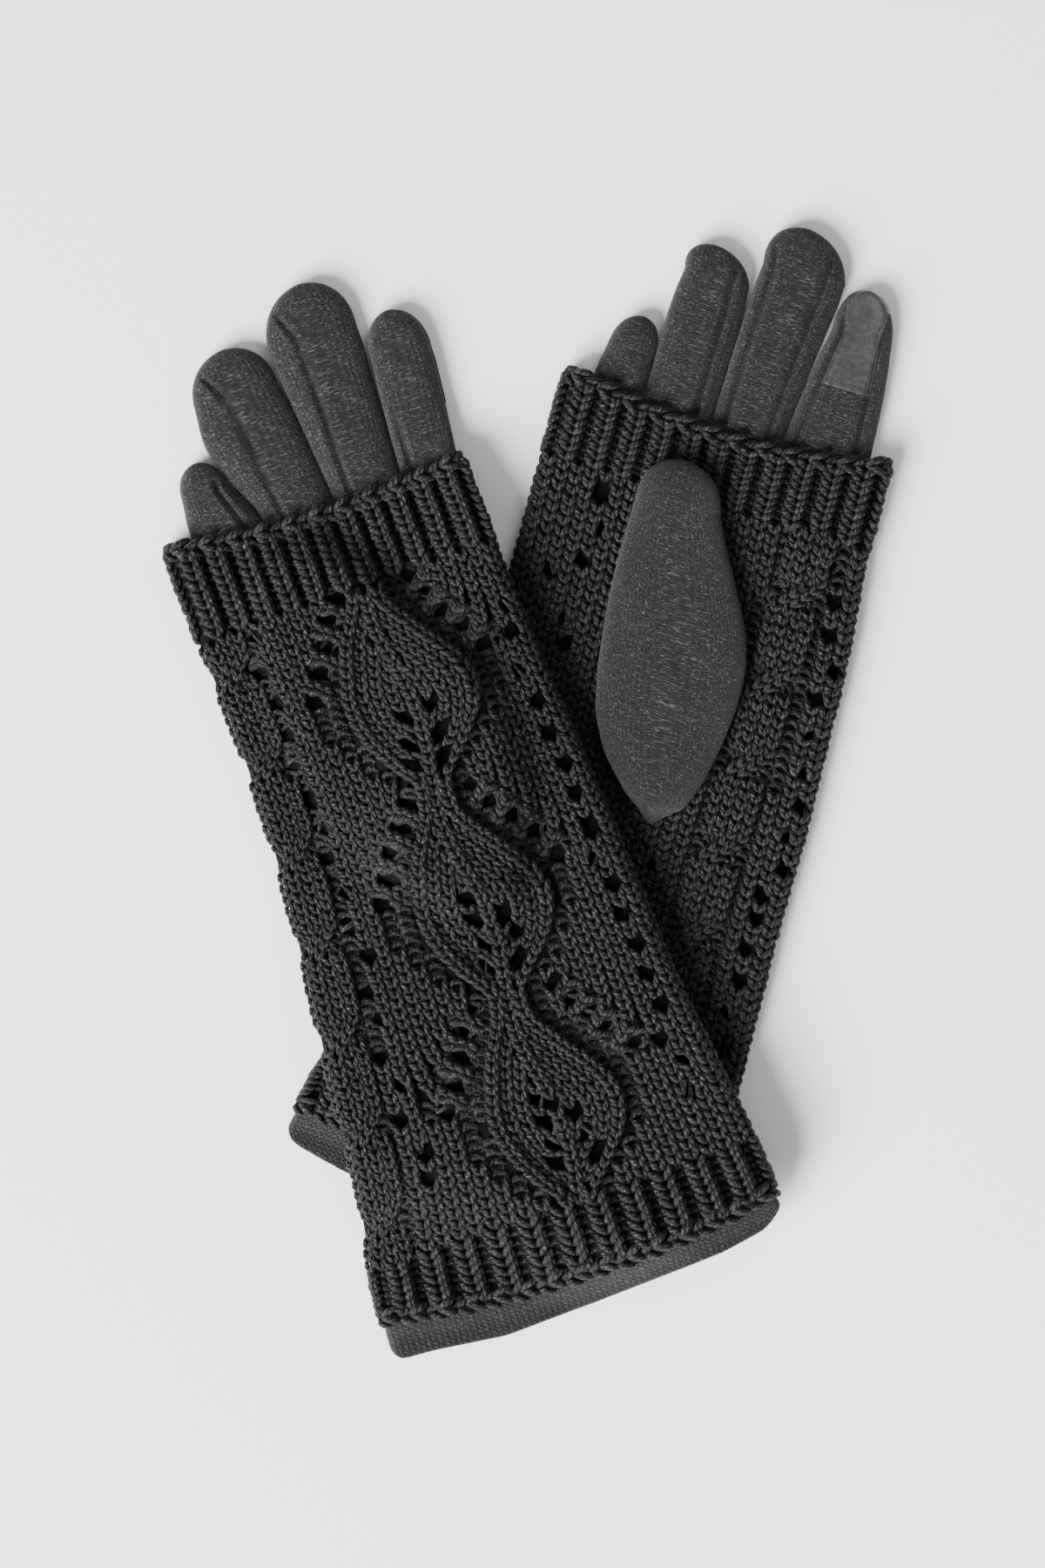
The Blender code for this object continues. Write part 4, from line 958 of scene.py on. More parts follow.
class YarnWork:
    """Lengths of yarn that become one piece."""

    def __init__(self) -> None:
        """Starts with no yarn."""
        self.lengths: list[tuple[Array, Array]] = []

    def add(self, points: Array, radii: Array) -> None:
        """Adds lengths of yarn, all with the same number of points, in metres and in millimetres."""
        if len(points):
            self.lengths.append((points, np.broadcast_to(radii, points.shape[:2]) * MM))

    def knit(self, chart: Chart, tube: FlatTube, face: Face, eyelets: Eyelets, plain: bool = False) -> None:
        """Adds every stitch of a chart.

        Args:
            chart: The stitches.
            tube: The form that they lie on.
            face: Which face of it.
            eyelets: Holes that the yarn keeps clear of.
            plain: True where few points for each stitch are enough.
        """
        leg = PLAIN_LEG if plain else KNIT_LEG
        knit = ((leg, -1.0), (leg, 1.0))
        purl = ((PLAIN_PURL, 1.0),) if plain else ((PURL_HEAD, 1.0), (PURL_FOOT, 1.0))
        for loop, shapes in ((Loop.KNIT, knit), (Loop.PURL, purl)):
            stitches = chart.stitches(loop)
            stitches = stitches[~eyelets.hit(stitches[:, 0], stitches[:, 1])]
            across, along, width, row, lean, height = (stitches[:, [i]] for i in range(6))
            for shape, side in shapes:
                a, b, c, radius = (np.array([point[i] for point in shape]) for i in range(4))
                a, b = side * a * width, b * row
                points_u, points_v = eyelets.push(across + a * np.cos(lean) + b * np.sin(lean),
                                                  along - a * np.sin(lean) + b * np.cos(lean))
                thick = radius * chart.chance.normal(1.0, YARN_UNEVENNESS, (len(stitches), 1))
                thick = thick * np.clip(width / USUAL_WIDTH, 0.8, 1.2)
                least = thick if face is Face.UNDER else 0.0
                self.add(tube.drape(points_u, points_v, c + height, face, least), thick)

    def build(self, name: str, section: Section, material: bpy.types.Material) -> bpy.types.Object:
        """Makes the piece.

        Args:
            name: The piece's name.
            section: How round the yarn is.
            material: The yarn's finish.

        Returns:
            The finished mesh object.
        """
        curve = bpy.data.curves.new(name, "CURVE")
        curve.dimensions = "3D"
        curve.resolution_u = 1
        curve.bevel_depth = 1.0
        curve.bevel_resolution = section.value
        curve.use_fill_caps = True
        for points, radii in self.lengths:
            four = np.concatenate([points, np.ones(points.shape[:2] + (1,))], axis=-1)
            for run, thick in zip(four, radii):
                spline = curve.splines.new("POLY")
                spline.points.add(len(run) - 1)
                spline.points.foreach_set("co", run.ravel())
                spline.points.foreach_set("radius", thick)
                spline.use_smooth = True
        guide = bpy.data.objects.new(name + "_guide", curve)
        bpy.context.scene.collection.objects.link(guide)
        graph = bpy.context.evaluated_depsgraph_get()
        mesh = bpy.data.meshes.new_from_object(guide.evaluated_get(graph))
        bpy.data.objects.remove(guide)
        bpy.data.curves.remove(curve)
        mesh.name = name
        mesh.materials.clear()
        mesh.shade_smooth()
        return put_mesh(name, mesh, material)


# ---------------------------------------------------------------------------------------------
# Surfaces from grids
# ---------------------------------------------------------------------------------------------


@dataclass(frozen=True)
class Net:
    """A grid of points that becomes a smooth surface: how many run across and along it."""

    across: int
    along: int

    def shares(self) -> tuple[Array, Array]:
        """The share across and along of every point of the grid."""
        return np.meshgrid(np.linspace(0.0, 1.0, self.across + 1), np.linspace(0.0, 1.0, self.along + 1))


class ClothSurface:
    """Collects grids of cloth and turns them into one piece."""

    def __init__(self) -> None:
        """Starts with an empty mesh."""
        self.mesh = bmesh.new()
        self.map = self.mesh.loops.layers.uv.new("UVMap")
        self.seam = self.mesh.verts.layers.float.new("seam")

    def add(self, net: Net, points: Array, cloth: Array, seam: Array | float, keep: Array | None = None,
            finish: Array | int = 0) -> None:
        """Adds one grid.

        Args:
            net: How many points it has.
            points: Its points in metres, rows along by points across.
            cloth: Each point's place on the flat cloth, in millimetres.
            seam: How far each point belongs to a seam, from 0 to 1.
            keep: True for each point that stays. A face that has lost a point goes.
            finish: Which of the piece's finishes each point has. A face takes the first of its points' ones.
        """
        made = bmesh.ops.create_grid(self.mesh, x_segments=net.across, y_segments=net.along, size=1.0)
        verts = made["verts"]
        flat_points = points.reshape(-1, 3)
        flat_cloth = cloth.reshape(-1, 2)
        flat_seam = np.broadcast_to(seam, points.shape[:-1]).reshape(-1)
        flat_finish = np.broadcast_to(finish, points.shape[:-1]).reshape(-1)
        place, chosen = {}, {}
        for number, vert in enumerate(verts):
            vert.co = flat_points[number]
            vert[self.seam] = flat_seam[number]
            place[vert] = flat_cloth[number]
            chosen[vert] = int(flat_finish[number])
        for face in {face for vert in verts for face in vert.link_faces}:
            face.material_index = min(chosen[vert] for vert in face.verts)
            for loop in face.loops:
                loop[self.map].uv = place[loop.vert]
        if keep is not None:
            lost = [vert for vert, stays in zip(verts, keep.reshape(-1)) if not stays]
            bmesh.ops.delete(self.mesh, geom=lost, context="VERTS")

    def build(self, name: str, *materials: bpy.types.Material) -> bpy.types.Object:
        """Makes the piece.

        Args:
            name: The piece's name.
            materials: The cloth's finish, and its further ones where it has them.

        Returns:
            The finished mesh object.
        """
        bmesh.ops.remove_doubles(self.mesh, verts=self.mesh.verts[:], dist=WELD * MM)
        bmesh.ops.dissolve_degenerate(self.mesh, edges=self.mesh.edges[:], dist=1e-6)
        bmesh.ops.recalc_face_normals(self.mesh, faces=self.mesh.faces[:])
        data = bpy.data.meshes.new(name)
        self.mesh.to_mesh(data)
        self.mesh.free()
        data.shade_smooth()
        return put_mesh(name, data, *materials)


# ---------------------------------------------------------------------------------------------
# The knit sleeve
# ---------------------------------------------------------------------------------------------


@dataclass(frozen=True)
class Cable:
    """Four wales that cross in pairs: where its middle lies, its first crossing and the crossings' pitch."""

    place: float
    from_fold: bool
    first: float
    pitch: float
    rise: float = 1.0
    wale: float = 4.1
    reach: float = 13.0
    level: float = 0.7
    bulge: float = 0.4
    over: float = 1.0
    under: float = -1.2

    def middle(self, tube: FlatTube, along: Array) -> Array:
        """Where the middle of the cable lies across."""
        return self.place + (tube.spread(along)[0] if self.from_fold else 0.0 * along)

    def path(self, tube: FlatTube, number: int, along: Array) -> tuple[Array, Array]:
        """One wale of the cable.

        Args:
            tube: The form that it lies on.
            number: The wale, 0 to 3 from the left before the first crossing.
            along: Places along the face.

        Returns:
            Where it lies across, and its height.
        """
        turns = (along - self.first) / self.pitch
        crossing = np.floor(turns + 0.5)
        share = ease((turns - crossing) * self.pitch / self.reach + 0.5)
        pair, within = divmod(number, 2)
        rising = (pair + crossing) % 2 == 0
        place = np.where(rising, share, 1.0 - share) * 2.0 - 1.0
        across = self.middle(tube, along) + place * self.wale + (within - 0.5) * self.wale * 0.95
        bulge = self.bulge * np.cos((turns - crossing) * 2.0 * math.pi - math.pi)
        crossed = np.where(rising, self.over, self.under) * 4.0 * share * (1.0 - share)
        return across, (self.level + bulge + crossed) * self.rise


@dataclass
class LaceSleeve:
    """The fingerless sleeve in lace knit, drawn stitch by stitch. Wales count from the left fold."""

    plan: GlovePlan
    finishes: Finishes
    wales: int = 24
    row: float = 3.45
    # Rows of the ribbed bands, and their crests and valleys: width as a share of a wale, and height.
    hand_rib_rows: int = 9
    wrist_rib_rows: int = 7
    crest: tuple[float, float] = (1.5, 0.6)
    valley: tuple[float, float] = (0.7, -1.9)
    under_relief: float = 0.3
    rim_inset: float = 1.6
    # The chain of stitches along a rim.
    chain_pitch: float = 4.4
    chain_width: float = 5.6
    chain_inset: float = 0.9
    chain_height: float = 0.4
    chain_sway: float = 0.5
    # The leaves: the pitch of their nested wales, and width and height of midrib, outline and the rest.
    leaf_wale: float = 4.75
    midrib: tuple[float, float] = (4.9, 1.1)
    outline: tuple[float, float] = (4.9, 1.75)
    nested: tuple[float, float] = (4.7, 0.75)
    nested_wales: int = 4
    first_wale_right: int = 14
    purl_depth: float = 1.3
    # Columns of deep purl stitches by a leaf's shoulder, by their distance from its edge.
    shoulder_purls: tuple[float, ...] = (1.6, 5.2, 8.8)
    shoulder_depth: float = 1.4
    # The stitches of a bar, by rows from its foot and height.
    bar_stitches: Rows = ((0.45, 0.1), (1.35, -0.15), (2.25, -0.6))
    bar_lean: float = math.radians(50.0)
    bar_width: float = 5.6
    palm_valley_depth: float = 1.1
    # The dark sheet of painted shade lies under the yarn's middle, nearer to it at the folds.
    shade_sheet_depth: float = 1.35
    shade_sheet_rise: float = 1.35
    shade_sheet_inset: float = 1.2
    shade_sheet_low: float = 0.4
    cell: float = 1.7
    # Where along the face the sleeve's flat size is measured.
    measured_at: float = 120.0
    tube: FlatTube = field(init=False)
    cable: Cable = field(init=False)
    feet: dict[tuple[int, int], tuple[float, float]] = field(init=False)

    def __post_init__(self) -> None:
        """Sets the form that the sleeve lies on, its cable, and the feet of the leaves' bars."""
        self.tube = FlatTube(self.plan)
        self.cable = (Cable(33.6, False, 32.0, 28.0) if self.plan.palm_up
                      else Cable(8.6, True, 26.6, 30.2, rise=0.7))
        self.feet = {} if self.plan.palm_up else self.find_feet()

    # ---- where wales and rows lie ----

    def wale(self, number: Array | float, along: Array | float) -> Array:
        """The middle of a wale."""
        low, high = self.tube.spread(along)
        return low + (high - low) * number / self.wales

    def pitch(self, along: Array | float) -> Array:
        """The width of a wale."""
        low, high = self.tube.spread(along)
        return (high - low) / self.wales

    def rows(self) -> Array:
        """The middles of the rows of the lace."""
        count = int((HAND_RIB_START - WRIST_RIB_END) / self.row)
        return WRIST_RIB_END + (np.arange(count) + 0.5) * (HAND_RIB_START - WRIST_RIB_END) / count

    def rim(self, at_hand: bool) -> tuple[float, float, float]:
        """The rim's heights at the fingers or at the wrist."""
        return self.plan.top_rim if at_hand else self.plan.bottom_rim

    def eyelets(self, face: Face) -> Eyelets:
        """The eyelets of a face, as seen where it shows, and a plain row of them where it is hidden."""
        holes: list[tuple[float, ...]] = []
        leaf_side = (face is Face.UPPER) != self.plan.palm_up
        if leaf_side:
            for rows in (rows for leaf in SHOULDER_EYELETS for rows in leaf):
                for step, (u, v) in enumerate(rows):
                    holes.append((u, v, 1.85 + 0.14 * step, 1.75 + 0.08 * step, 0.0))
        if leaf_side and face is Face.UPPER:
            for u, v in MIDRIB_SLITS:
                holes.append((u, v, 1.5, 2.5, math.copysign(0.75, u - float(self.leaf_middle(v)))))
            holes.extend((u, v, 1.6, 2.0, 0.0) for u, v in BACK_COLUMNS)
        if not leaf_side:
            holes.extend((u, v, 1.4, 1.8, 0.0) for u, v in PALM_COLUMNS[::1 if face is Face.UPPER else 2])
            u, v, half_u, half_v = THUMB_OPENING
            holes.append((u, v, half_u - 1.4, half_v - 1.4, 0.0))
        return Eyelets(np.array(holes))

    # ---- ribs ----

    def chart_rib(self, face: Face, at_hand: bool) -> Chart:
        """The crests and valleys of a ribbed band, on a face, at the fingers or at the wrist."""
        chart = Chart(Stretch.HAND_RIB if at_hand else Stretch.WRIST_RIB)
        count = self.hand_rib_rows if at_hand else self.wrist_rib_rows
        seam = HAND_RIB_START if at_hand else WRIST_RIB_END
        inset = -self.rim_inset if at_hand else self.rim_inset
        steps = (np.arange(count) + 0.5) / count
        # The upper face also has the wales on the two folds.
        fold, relief = (1, 1.0) if face is Face.UPPER else (0, self.under_relief)
        for number in range(1 - fold, self.wales + fold):
            rim_v = self.plan.rim(self.wale(number, seam), self.rim(at_hand)) + inset
            along = seam + (rim_v - seam) * steps
            across = self.wale(number, along)
            width, length = self.pitch(along), abs(rim_v - seam) / count
            lean = lean_of(across, along)
            if number % 2:
                chart.add(Loop.PURL, across, along, width * self.valley[0], length, lean,
                          self.valley[1] * relief)
            else:
                chart.add(Loop.KNIT, across, along, width * self.crest[0], length * 1.02, lean,
                          self.crest[1] * relief)
        return chart

    def chart_rim(self, at_hand: bool) -> Chart:
        """The chain of sideways stitches along a rim, at the fingers or at the wrist."""
        chart = Chart(Stretch.HAND_RIM if at_hand else Stretch.WRIST_RIM)
        low, high = (float(x) for x in self.tube.spread(self.rim(at_hand)[1]))
        count = int((high - low) / self.chain_pitch)
        across = low + (np.arange(count) + 0.5) * (high - low) / count
        inset = -self.chain_inset if at_hand else self.chain_inset
        along = self.plan.rim(across, self.rim(at_hand)) + inset
        sway = np.where(np.arange(count) % 2, self.chain_sway, -self.chain_sway)
        lean = math.pi / 2 - lean_of(along, across)
        chart.add(Loop.KNIT, across, along + sway, self.chain_width, (high - low) / count, lean,
                  self.chain_height + sway)
        return chart

    # ---- the lace ----

    def leaf_at(self, along: Array | float) -> tuple[Array, Array]:
        """Which leaf a row crosses, and how far past that leaf's tip it lies."""
        along = np.asarray(along, float)
        leaf = np.maximum(np.searchsorted(LEAF_STARTS, along, side="right") - 1, 0)
        return leaf, along - np.array(LEAF_STARTS)[leaf]

    def leaf_middle(self, along: Array | float) -> Array:
        """Where the middle of the leaf column lies across."""
        return table(LEAF_SHAPE, self.leaf_at(along)[1], 1, 3.0)

    def leaf_half(self, along: Array | float) -> Array:
        """Half the width of the leaf column at its outer edge."""
        return table(LEAF_SHAPE, self.leaf_at(along)[1], 2, 2.0)

    def side_of(self, number: int) -> int:
        """-1 for a wale left of the leaves, 1 for one right of them."""
        return -1 if number < self.first_wale_right else 1

    def find_feet(self) -> dict[tuple[int, int], tuple[float, float]]:
        """The wales that start at the leaves' shoulders, one at the outer end of each bar.

        Returns:
            Where each starts, across and along, by leaf and wale.
        """
        feet = {}
        for leaf, sides in enumerate(SHOULDER_EYELETS):
            for side, rows in zip((-1, 1), sides):
                number = None
                for (u0, v0), (u1, v1) in zip(rows, rows[1:]):
                    foot_u, foot_v = (u0 + u1) / 2 + side * 3.9, (v0 + v1) / 2 + 1.2
                    nearest = int(round((foot_u - self.wale(0, foot_v)) / self.pitch(foot_v)))
                    number = nearest if number is None else number + side
                    feet[leaf, number] = (foot_u, foot_v)
        return feet

    def chart_background(self) -> Chart:
        """The plain wales beside the leaves, and the sunken purl stitches below each leaf and by its stem."""
        chart = Chart(Stretch.BACKGROUND)
        along = self.rows()
        leaf, past = self.leaf_at(along)
        half, middle = self.leaf_half(along), self.leaf_middle(along)
        pitch = self.pitch(along)
        below = past < SHOULDER_START
        shoulder_line = table(SHOULDER_LINE, past)
        for number in range(self.wales + 1):
            across = self.wale(number, along)
            side = self.side_of(number)
            gap = (across - middle) * side - half
            sunken = below & (gap < table(SUNKEN_REACH[side], past) + 0.1 * pitch)
            bare = ~below & (gap + half < shoulder_line)
            for (owner, wale), (foot_u, foot_v) in self.feet.items():
                if wale == number:
                    here = (leaf == owner) & ~below
                    bare = np.where(here, along < foot_v + 1.0, bare)
                    shift = (foot_u - self.wale(number, foot_v)) * np.exp(-np.abs(along - foot_v) / 7.0)
                    across = across + np.where(here & (along > foot_v), shift, 0.0)
            from_cable = (across - self.cable.middle(self.tube, along)) / self.cable.wale
            beside = (from_cable > 1.1) & (from_cable < 2.0 + 2.9 / self.cable.wale)
            clear = (gap > 0.3 * pitch) & (from_cable >= 2.0)
            plain = clear & ~sunken & ~bare & ~beside
            purl = beside | (clear & (sunken | bare))
            lean = lean_of(across, along)
            for loop, here, height in ((Loop.KNIT, plain, 0.0), (Loop.PURL, purl, -self.purl_depth)):
                chart.add(loop, across[here], along[here], pitch[here], self.row, lean[here], height)
        for side in (-1, 1):
            for reach in self.shoulder_purls:
                across = middle + side * (half + reach)
                nearest = reach == self.shoulder_purls[0]
                filled = (past > SHOULDER_START) & (nearest | (half + reach < shoulder_line - 4.6))
                chart.add(Loop.PURL, across[filled], along[filled], 4.0, self.row,
                          lean_of(across, along)[filled], -self.shoulder_depth)
        return chart

    def add_bars(self, chart: Chart) -> None:
        """Adds the short slanting bars that lead from a leaf's edge out to the foot of each new wale."""
        for (_, number), (foot_u, foot_v) in self.feet.items():
            lean = self.side_of(number) * self.bar_lean
            for rows, height in self.bar_stitches:
                reach = rows * self.row
                chart.add(Loop.KNIT, foot_u - reach * math.sin(lean), foot_v - reach * math.cos(lean) + 1.0,
                          self.bar_width, self.row * 1.02, lean, height)

    def leaf_path(self, side: int, number: int, along: Array) -> tuple[Array, Array]:
        """One wale of the leaf column.

        Args:
            side: -1 for the left half, 1 for the right half.
            number: 0 for the one along the outline, then inwards.
            along: Places along the face.

        Returns:
            Where the wale lies across, and a height of 0, or no number where it has ended.
        """
        middle = self.leaf_middle(along)
        offset = self.leaf_half(along) - (number + 0.5) * self.leaf_wale
        alive = (offset > 0.4 * self.leaf_wale) | (number == 0)
        across = middle + side * np.maximum(offset, 3.5 if number == 0 else 0.0)
        return across, np.where(alive, 0.0, np.nan)

    def follow(self, chart: Chart, path: Path, width: float, height: float) -> None:
        """Adds the stitches of a wale that wanders.

        Args:
            chart: The chart to add to.
            path: Gives where the wale lies across and its height at places along, or no number where it ends.
            width: How wide the stitches are.
            height: How far they are raised.
        """
        step = 0.15
        fine = np.arange(WRIST_RIB_END + 0.5, HAND_RIB_START - 0.6, step)
        across, raised = path(fine)
        slope = lean_of(across, fine)
        here, picked = 0, []
        while here < len(fine):
            if np.isfinite(raised[here]):
                picked.append(here)
            here += max(1, round(self.row * max(0.5, math.cos(slope[here])) / step))
        picked = np.array(picked, int)
        lean = slope[picked]
        chart.add(Loop.KNIT, across[picked], fine[picked], width * np.maximum(0.68, np.cos(lean)),
                  self.row * 1.04, lean, height + raised[picked])

    def chart_leaves(self) -> Chart:
        """The nested wales of the leaf column, which part at the midrib and meet again at the stem."""
        chart = Chart(Stretch.LEAVES)
        self.follow(chart, lambda along: (self.leaf_middle(along), 0.0 * along), *self.midrib)
        for side in (-1, 1):
            for number in range(self.nested_wales):
                self.follow(chart, partial(self.leaf_path, side, number),
                            *(self.nested if number else self.outline))
        return chart

    def add_cable(self, chart: Chart) -> None:
        """Adds the cable's four wales."""
        for number in range(4):
            self.follow(chart, partial(self.cable.path, self.tube, number), self.cable.wale * 1.04, 0.0)

    def chart_palm(self) -> Chart:
        """The palm's plain wales and its cable between two sunken valleys."""
        chart = Chart(Stretch.PALM)
        along = self.rows()
        pitch = self.pitch(along)
        for number in range(self.wales + 1):
            across = self.wale(number, along)
            away = np.abs(across - self.cable.middle(self.tube, along))
            lean = lean_of(across, along)
            edge = self.cable.wale * 2.0 + 3.2
            valley = (away > self.cable.wale * 1.1) & (away < edge)
            plain = away > edge
            chart.add(Loop.KNIT, across[plain], along[plain], pitch[plain], self.row, lean[plain], 0.0)
            chart.add(Loop.PURL, across[valley], along[valley], pitch[valley] * 0.9, self.row, lean[valley],
                      -self.palm_valley_depth)
        self.add_cable(chart)
        return chart

    def chart_plain(self) -> Chart:
        """Plain knitting over the whole lace stretch, for the face that lies down."""
        chart = Chart(Stretch.PLAIN)
        along = self.rows()
        for number in range(1, self.wales):
            across = self.wale(number, along)
            chart.add(Loop.KNIT, across, along, self.pitch(along), self.row, lean_of(across, along), 0.0)
        return chart

    # ---- pieces ----

    def build_shade_sheet(self) -> bpy.types.Object:
        """A dark sheet of painted shade under the stitches: one closed tube with the eyelets left open."""
        plan = self.plan
        low, high = (float(x) for x in self.tube.spread(self.measured_at))
        net = Net(2 * int((high - low) / self.cell), int(255.0 / self.cell))
        share, step = net.shares()
        upper = share < 0.5
        across_share = np.where(upper, share * 2.0, 2.0 - share * 2.0)
        start = plan.rim(0.0, plan.bottom_rim)
        rough = start + (plan.rim(0.0, plan.top_rim) - start) * step
        low, high = self.tube.spread(rough)
        across = low + (high - low) * across_share
        bottom = plan.rim(across, plan.bottom_rim) + self.shade_sheet_inset
        top = plan.rim(across, plan.top_rim) - self.shade_sheet_inset
        along = bottom + (top - bottom) * step
        low, high = self.tube.spread(along)
        across = low + (high - low) * across_share
        from_fold = np.minimum(across - low, high - across)
        height = self.shade_sheet_rise * (1.0 - ease(from_fold / 6.0)) - self.shade_sheet_depth
        over, under = (self.tube.drape(across, along, height, face, self.shade_sheet_low) for face in Face)
        points = np.where(upper[..., None], over, under)
        over, under = (self.eyelets(face).hit(across, along, 0.95) for face in Face)
        keep = ~np.where(upper, over, under)
        cloth = np.stack([np.where(upper, across, 2 * high - across), along], axis=-1)
        surface = ClothSurface()
        surface.add(net, points, cloth, 0.0, keep)
        return surface.build(f"{plan.side.value}_sleeve_shade_sheet", self.finishes.shade_sheet)

    def build_yarn(self) -> list[bpy.types.Object]:
        """Makes the ribs, the lace and the face that lies down."""
        side = self.plan.side.value
        upper, under = self.eyelets(Face.UPPER), self.eyelets(Face.UNDER)
        pieces = []
        for part, at_hand in (("hand_rib", True), ("wrist_rib", False)):
            work = YarnWork()
            for chart in (self.chart_rib(Face.UPPER, at_hand), self.chart_rim(at_hand)):
                work.knit(chart, self.tube, Face.UPPER, upper)
            pieces.append(work.build(f"{side}_{part}_yarn", Section.ROUND, self.finishes.yarn))
        if self.plan.palm_up:
            charts = [self.chart_palm()]
        else:
            charts = [self.chart_background(), self.chart_leaves()]
            self.add_bars(charts[0])
            self.add_cable(charts[0])
        work = YarnWork()
        for chart in charts:
            work.knit(chart, self.tube, Face.UPPER, upper)
        pieces.append(work.build(f"{side}_lace_yarn", Section.ROUND, self.finishes.yarn))
        charts = [chart for at_hand in (True, False)
                  for chart in (self.chart_rib(Face.UNDER, at_hand), self.chart_rim(at_hand))]
        work = YarnWork()
        for chart in (*charts, self.chart_plain()):
            work.knit(chart, self.tube, Face.UNDER, under, True)
        pieces.append(work.build(f"{side}_under_yarn", Section.SQUARE, self.finishes.yarn))
        return pieces

    def build(self) -> list[bpy.types.Object]:
        side = self.plan.side.value
        # The dark sheet of painted shade that shows between the stitches.
        shade_sheet = self.build_shade_sheet()
        pieces = self.build_yarn()
        for piece in (shade_sheet, *pieces):
            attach(piece, "root")
        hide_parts(*(f"{side}_sleeve_{part}_{face}" for part in ("hand_rib", "lace", "wrist_rib")
                              for face in ("back", "palm")))
        low, high = (float(x) for x in self.tube.spread(self.measured_at))
        return [shade_sheet, *pieces]


# ---------------------------------------------------------------------------------------------
# The jersey glove
# ---------------------------------------------------------------------------------------------


# The faint waves of soft cloth: radians a millimetre across and along, and phase.
RIPPLES = ((0.11, 0.07, 0.3), (0.23, -0.12, 1.7), (-0.17, 0.19, 2.9), (0.31, 0.27, 4.1), (0.05, 0.36, 5.3))


def ripple(u: Array, v: Array, size: float) -> Array:
    """Faint unevenness of soft cloth, at most as high as its size."""
    return size * sum(np.sin(u * a + v * b + c) for a, b, c in RIPPLES) / len(RIPPLES)


class Cloth(Enum):
    """The inner glove's finishes, in the order in which its mesh has them."""

    PLAIN = 0
    # The stretch inside the sleeve, darkened with painted shade.
    HIDDEN = 1
    CUFF = 2


